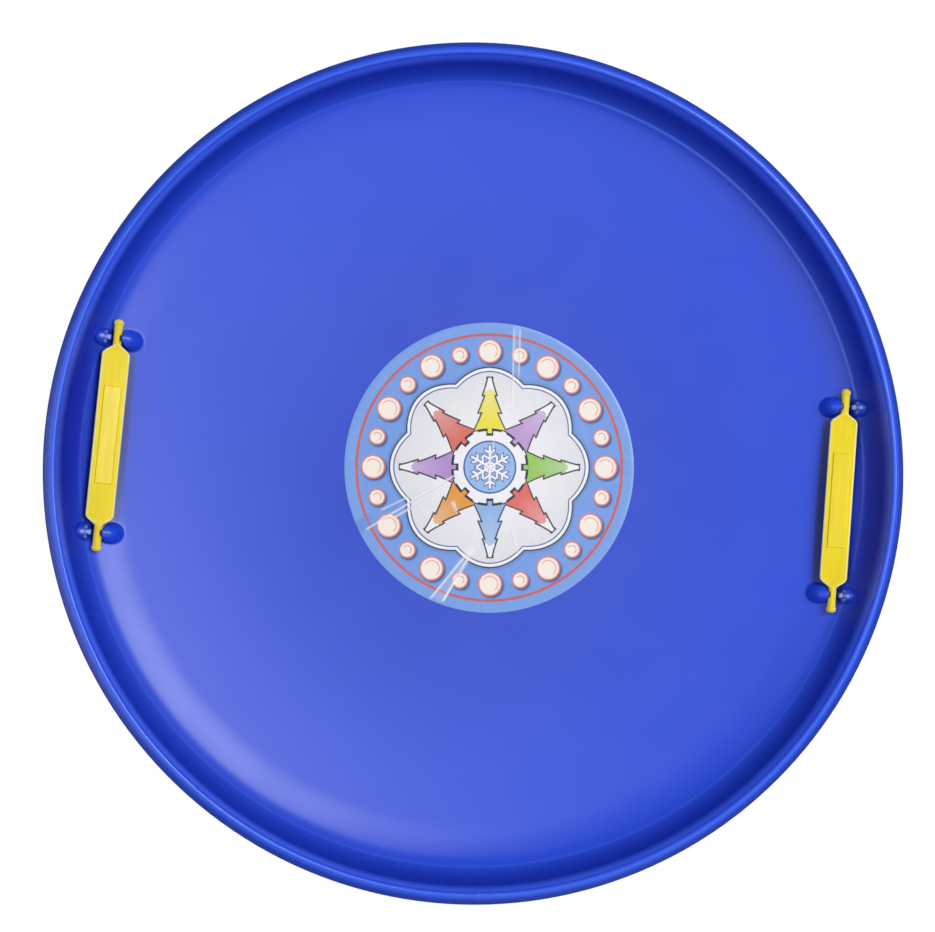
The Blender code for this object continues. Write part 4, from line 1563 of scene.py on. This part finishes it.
    def pines(self, graph: Graph, colour: object, away: Scalar, angle: Scalar) -> bpy.types.NodeSocket:
        """Pines that point out all round the pond, each one colour, outlined and capped with snow."""
        spacing = math.tau / self.pine_count
        number = graph.math("ROUND", angle / spacing)
        local = angle - number * spacing
        x = abs(away * graph.math("SINE", local))
        y = away * graph.math("COSINE", local) - self.pine_base + x * x * self.pine_bow
        shape = self.pine(x, y)
        outline = shape.least(self.pine(x, y + 1.0 * MM)) - self.pine_line
        colour = graph.mix(outline.inside(self.soft), colour, self.ink)
        stops = [(i / len(self.pine_colours), c) for i, c in enumerate(self.pine_colours)]
        order = (number % float(self.pine_count) + 0.5) / len(self.pine_colours)
        light = (y - x).above(0.0, self.pine_height) * self.pine_light
        paint = graph.mix(light, graph.ramp(order, stops), self.white)
        colour = graph.mix(shape.inside(self.soft), colour, paint)
        drip = graph.math("SINE", x * self.cap_waves) * self.cap_drip
        cap = (self.pine_height * self.cap_start - y + drip).inside(self.soft)
        return graph.mix(cap * shape.inside(self.soft), colour, self.white)

    def snowballs(
        self, graph: Graph, colour: object, u: Scalar, v: Scalar, angle: Scalar
    ) -> bpy.types.NodeSocket:
        """A ring of snowballs, large and small in turn, each with a red outline and a shadow."""
        spacing = math.tau / self.ball_count
        number = graph.math("ROUND", angle / spacing)
        x = u - graph.math("SINE", number * spacing) * self.ball_ring
        y = v - graph.math("COSINE", number * spacing) * self.ball_ring
        size = self.ball_size - (number % 2.0) * self.ball_step
        ball = graph.length(x, y) - size
        shadow = graph.length(x - self.shadow_x, y - self.shadow_y) - size - self.shadow_growth
        colour = graph.mix(shadow.inside(self.shadow_fade) * self.shadow_share, colour, self.shade)
        colour = graph.mix(ball.inside(self.soft), colour, self.ball_red)
        colour = graph.mix((ball + self.ball_rim).inside(self.soft * 1.6), colour, self.cream)
        line = ball.on(self.ball_line) * (x + y).above(-2 * MM, 0.0)
        return graph.mix(line * self.ball_line_share, colour, self.ball_red)

    def creases(self, graph: Graph, colour: object, u: Scalar, v: Scalar) -> bpy.types.NodeSocket:
        """Milky lines with painted highlight under the folds of the cover film, two broad bands of painted
        glare, and the places where it has lifted.
        """
        layers = ((self.glares, self.glare), (self.lifts, self.lifted), (self.folds, self.glare))
        for fold, paint in ((fold, paint) for folds, paint in layers for fold in folds):
            x, y = u - fold.first[0], v - fold.first[1]
            along = x * fold.ahead[0] + y * fold.ahead[1]
            across = y * fold.ahead[0] - x * fold.ahead[1]
            ends = along.above(*self.fold_start) * along.above(fold.length, fold.length - self.fold_end)
            line = (abs(across) - fold.width).inside(self.fold_fade) * ends
            colour = graph.mix(line * fold.share, colour, paint)
        return colour


class RoundLabel:
    """The label: a thin film on the dish's floor, with a few folds in its clear cover."""

    LIFT = 0.45 * MM
    SINK = 0.05 * MM
    RINGS = 44
    COLUMNS = 192
    FOLD_HEIGHT = 0.26 * MM
    FOLD_WIDTH = 0.62
    FOLD_SWING = 0.01
    FOLD_SWELL = 0.6
    HUMP = np.array([(-1.0, 0.0), (-0.5, 0.75), (0.0, 1.0), (0.5, 0.75), (1.0, 0.0), (0.0, -0.6)])

    def __init__(self, section: DishSection, art: LabelArt) -> None:
        """Keeps the dish's section, which the film follows, and the print."""
        self.section = section
        self.art = art

    def on_floor(self, x: np.ndarray, y: np.ndarray, lift: Value) -> np.ndarray:
        """Points over the floor at plan places, raised by lift."""
        height = self.section.surface_height(np.hypot(x, y), 0.0) + lift
        return np.stack([x, y, height], axis=-1)

    def film(self) -> bpy.types.Object:
        """The film: rings on the floor that grow from the middle, round its edge and back."""
        rings = np.linspace(0.0, 1.0, self.RINGS)
        edge = np.linspace(math.pi / 2, -math.pi / 2, 7)
        half = (self.LIFT + self.SINK) / 2
        reach = self.art.radius - half
        radii = np.concatenate([rings[:-1] * reach, reach + half * np.cos(edge), rings[::-4] * reach])
        lifts = np.concatenate([
            np.full(self.RINGS - 1, self.LIFT),
            self.LIFT - half + half * np.sin(edge),
            np.full(len(rings[::-4]), -self.SINK),
        ])
        turns = np.linspace(0.0, math.tau, self.COLUMNS, endpoint=False)
        x = self.art.centre_x + radii[:, None] * np.cos(turns)
        y = self.art.centre_y + radii[:, None] * np.sin(turns)
        skin = Skin()
        numbers = skin.add_points(self.on_floor(x, y, lifts[:, None]))
        skin.add_grid(numbers, closed=True)
        return skin.make("round_label_film")

    def folds(self) -> bpy.types.Object:
        """Folds of the cover film: low humps carried along lines, fading at both ends.

        A fold's half width and height follow a power of the sine of the way along it. Its
        line swings aside by the sine of the whole way, by a small share of its length. The
        hump's section is given as places across it and heights, both as shares.
        """
        skin = Skin()
        way = np.linspace(0.02, 0.98, 41)
        swell = np.sin(np.pi * way) ** self.FOLD_SWELL
        across, rise = self.HUMP.T
        cosine, sine = math.cos(self.art.turn), math.sin(self.art.turn)
        for fold in self.art.folds:
            ahead = np.array(fold.ahead)
            aside = np.array([-fold.ahead[1], fold.ahead[0]])
            swing = (self.FOLD_SWING * fold.length * np.sin(math.tau * way))[:, None]
            line = np.array(fold.first) + way[:, None] * fold.length * ahead + swing * aside
            width = self.FOLD_WIDTH * fold.width * swell[:, None] * across
            plan = line[:, None, :] + width[..., None] * aside
            u, v = plan[..., 0], plan[..., 1]
            x = self.art.centre_x + u * cosine - v * sine
            y = self.art.centre_y + u * sine + v * cosine
            lift = self.LIFT - self.SINK + rise[None, :] * (self.FOLD_HEIGHT * swell)[:, None]
            rings = self.on_floor(x, y, lift)
            numbers = skin.add_points(rings)
            skin.add_grid(numbers, closed=True)
            skin.add_fan(numbers[0][::-1], rings[0].mean(axis=0))
            skin.add_fan(numbers[-1], rings[-1].mean(axis=0))
        return skin.make("label_folds")

    def build(self) -> None:
        """Builds the film and its folds."""
        film = self.film()
        dress(film, self.art.material())
        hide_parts("round_label")
        folds = self.folds()
        dress(folds, ClearFilm().material())
        for item in (film, folds):
            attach(item, "sled")


# The studio


@dataclass(frozen=True)
class SoftLight:
    """A round soft light that looks at the middle of the dish."""

    name: str
    turn: float
    rise: float
    distance: float
    size: float
    power: float
    colour: Colour = (1.0, 1.0, 1.0)

    def build(self) -> None:
        """Adds the light: turn is degrees from +X towards +Y, and rise degrees above the floor."""
        lamp = bpy.data.lights.new(self.name, "AREA")
        lamp.shape = "DISK"
        lamp.size = self.size
        lamp.energy = self.power
        lamp.color = self.colour
        item = bpy.data.objects.new(self.name, lamp)
        turn, rise = math.radians(self.turn), math.radians(self.rise)
        away = np.array([math.cos(turn) * math.cos(rise), math.sin(turn) * math.cos(rise), math.sin(rise)])
        item.location = (away * self.distance).tolist()
        item.rotation_euler = (math.pi / 2 - rise, 0.0, turn + math.pi / 2)
        bpy.context.scene.collection.objects.link(item)


@dataclass(frozen=True)
class Studio:
    """Floor, world, lights and the camera at the photograph's angle."""

    image_width: float = 935.0
    focal_pixels: float = 1249.9
    sensor: float = 36.0
    roll: float = math.radians(-4.94)
    tip: float = math.radians(-2.74)
    lean: float = math.radians(4.04)
    aside: float = 12.2 * MM
    below: float = -0.35 * MM
    distance: float = 954 * MM
    target_height: float = 79.2 * MM
    sky_light: float = 0.03
    ceiling_gloss: float = 0.28
    horizon_gloss: float = 0.45
    horizon: Span = (0.02, 0.20)
    floor_colour: Colour = (0.6, 0.6, 0.6)
    floor_glow: float = 0.86
    floor_strength: float = 1.11
    floor_radius: float = 6.0
    floor_drop: float = 0.2 * MM
    lights: tuple[SoftLight, ...] = (
        SoftLight("key", 40.0, 61.0, 2.2, 1.1, 28.0),
        SoftLight("right", 2.0, 52.0, 2.2, 1.1, 8.0),
        SoftLight("left", 192.0, 52.0, 2.2, 2.4, 15.0),
        SoftLight("front", 300.0, 60.0, 2.2, 2.4, 11.0),
    )

    def camera(self) -> None:
        """Adds the camera, level with the photograph's: tilted a little and rolled."""
        cos, sin = math.cos, math.sin
        roll = np.array([
            [cos(self.roll), -sin(self.roll), 0.0],
            [sin(self.roll), cos(self.roll), 0.0],
            [0.0, 0.0, 1.0],
        ])
        lean = np.array([
            [cos(self.lean), 0.0, sin(self.lean)],
            [0.0, 1.0, 0.0],
            [-sin(self.lean), 0.0, cos(self.lean)],
        ])
        tip = np.array([
            [1.0, 0.0, 0.0],
            [0.0, cos(self.tip), -sin(self.tip)],
            [0.0, sin(self.tip), cos(self.tip)],
        ])
        turn = tip @ lean @ roll
        place = turn.T @ (-self.aside, -self.below, self.distance) + (0.0, 0.0, self.target_height)
        lens = bpy.data.cameras.new("camera")
        lens.sensor_fit = "HORIZONTAL"
        lens.sensor_width = self.sensor
        lens.lens = self.focal_pixels / self.image_width * self.sensor
        lens.clip_start = 0.01
        item = bpy.data.objects.new("camera", lens)
        matrix = np.eye(4)
        matrix[:3, :3] = turn.T
        matrix[:3, 3] = place
        item.matrix_world = matrix.T.tolist()
        bpy.context.scene.collection.objects.link(item)
        bpy.context.scene.camera = item

    @staticmethod
    def on_rays(graph: Graph, first: str, second: str) -> Scalar:
        """1 on rays of either of two kinds, by their names on the Light Path node."""
        outputs = graph.node("ShaderNodeLightPath").outputs
        return Scalar(graph, outputs[first]).most(Scalar(graph, outputs[second]))

    def world(self) -> None:
        """Gives the world a plain light, and white where it is seen.

        In gloss the backdrop is pale up to the horizon, and above it fades to the ceiling.
        """
        world = bpy.data.worlds.new("studio")
        bpy.context.scene.world = world
        graph = Graph(world)
        _, _, rise = graph.split(graph.places("Generated"))
        backdrop = rise.above(*self.horizon) * (self.ceiling_gloss - self.horizon_gloss) + self.horizon_gloss
        glossy = self.on_rays(graph, "Is Glossy Ray", "Is Transmission Ray")
        camera = Scalar(graph, graph.node("ShaderNodeLightPath").outputs["Is Camera Ray"])
        seen = (glossy * backdrop).most(camera)
        strength = seen.most((1.0 - glossy) * self.sky_light)
        inputs = {"Color": (1.0, 1.0, 1.0), "Strength": strength}
        shader = graph.node("ShaderNodeBackground", inputs=inputs)
        graph.node("ShaderNodeOutputWorld", inputs={"Surface": shader.outputs[0]})

    def floor(self) -> None:
        """Adds a pale floor that fades to the background and keeps a soft shadow."""
        skin = Skin()
        radii = np.linspace(0.0, self.floor_radius, 25)[:, None]
        turns = np.linspace(0.0, math.tau, 64, endpoint=False)
        height = 0.0 * radii * turns - self.floor_drop
        flat = np.stack([radii * np.cos(turns), radii * np.sin(turns), height], axis=-1)
        skin.add_grid(skin.add_points(flat), closed=True)
        item = skin.make("studio_floor")
        material = bpy.data.materials.new("studio floor")
        graph = Graph(material)
        diffuse = graph.node("ShaderNodeBsdfDiffuse", inputs={"Color": self.floor_colour})
        plain = {"Color": (1.0, 1.0, 1.0), "Strength": self.floor_strength}
        glow = graph.node("ShaderNodeEmission", inputs=plain)
        seen = self.on_rays(graph, "Is Camera Ray", "Is Transmission Ray")
        inputs = {0: seen * self.floor_glow, 1: diffuse.outputs[0], 2: glow.outputs[0]}
        mixed = graph.node("ShaderNodeMixShader", inputs=inputs)
        graph.node("ShaderNodeOutputMaterial", inputs={"Surface": mixed.outputs[0]})
        item.data.materials.append(material)
        item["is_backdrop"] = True

    def build(self) -> None:
        """Adds everything round the sled."""
        self.world()
        self.floor()
        for light in self.lights:
            light.build()
        self.camera()
        bpy.context.scene.view_settings.view_transform = "Standard"


def main() -> None:
    """Builds the sled's looks and the studio."""
    logging.basicConfig(level=logging.INFO, format="%(name)s: %(message)s")
    joints = {joint["name"]: joint for joint in frame["joints"]}
    axis_x, _, axis_height = joints["right_grip_rock"]["pos_m"]
    shell_corner, grip_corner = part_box("saucer_shell")[1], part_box("handle_right")[1]
    label_low, label_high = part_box("round_label")

    section = DishSection(rim_radius=shell_corner.x, height=shell_corner.z)
    boss = Boss(middle_x=axis_x, axis_height=axis_height)
    SaucerShell(section, boss).build(MouldedDish().material(section, boss))

    grip = StrapGrip(axis_x=axis_x, axis_height=axis_height, tip=grip_corner.y)
    yellow = MouldedGrip().material(grip)
    grip.build("right_strap_grip", "handle_right", "right_grip", 1.0, yellow)
    grip.build("left_strap_grip", "handle_left", "left_grip", -1.0, yellow)

    middle = (label_low + label_high) / 2
    art = LabelArt(centre_x=middle.x, centre_y=middle.y, radius=(label_high.x - label_low.x) / 2)
    RoundLabel(section, art).build()
    Studio().build()

    boxes = {"cad_box": CAD_BOX, "visual_box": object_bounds()}
    {name: [list(corner) for corner in box] for name, box in boxes.items()}


if __name__ == "__main__":
    main()
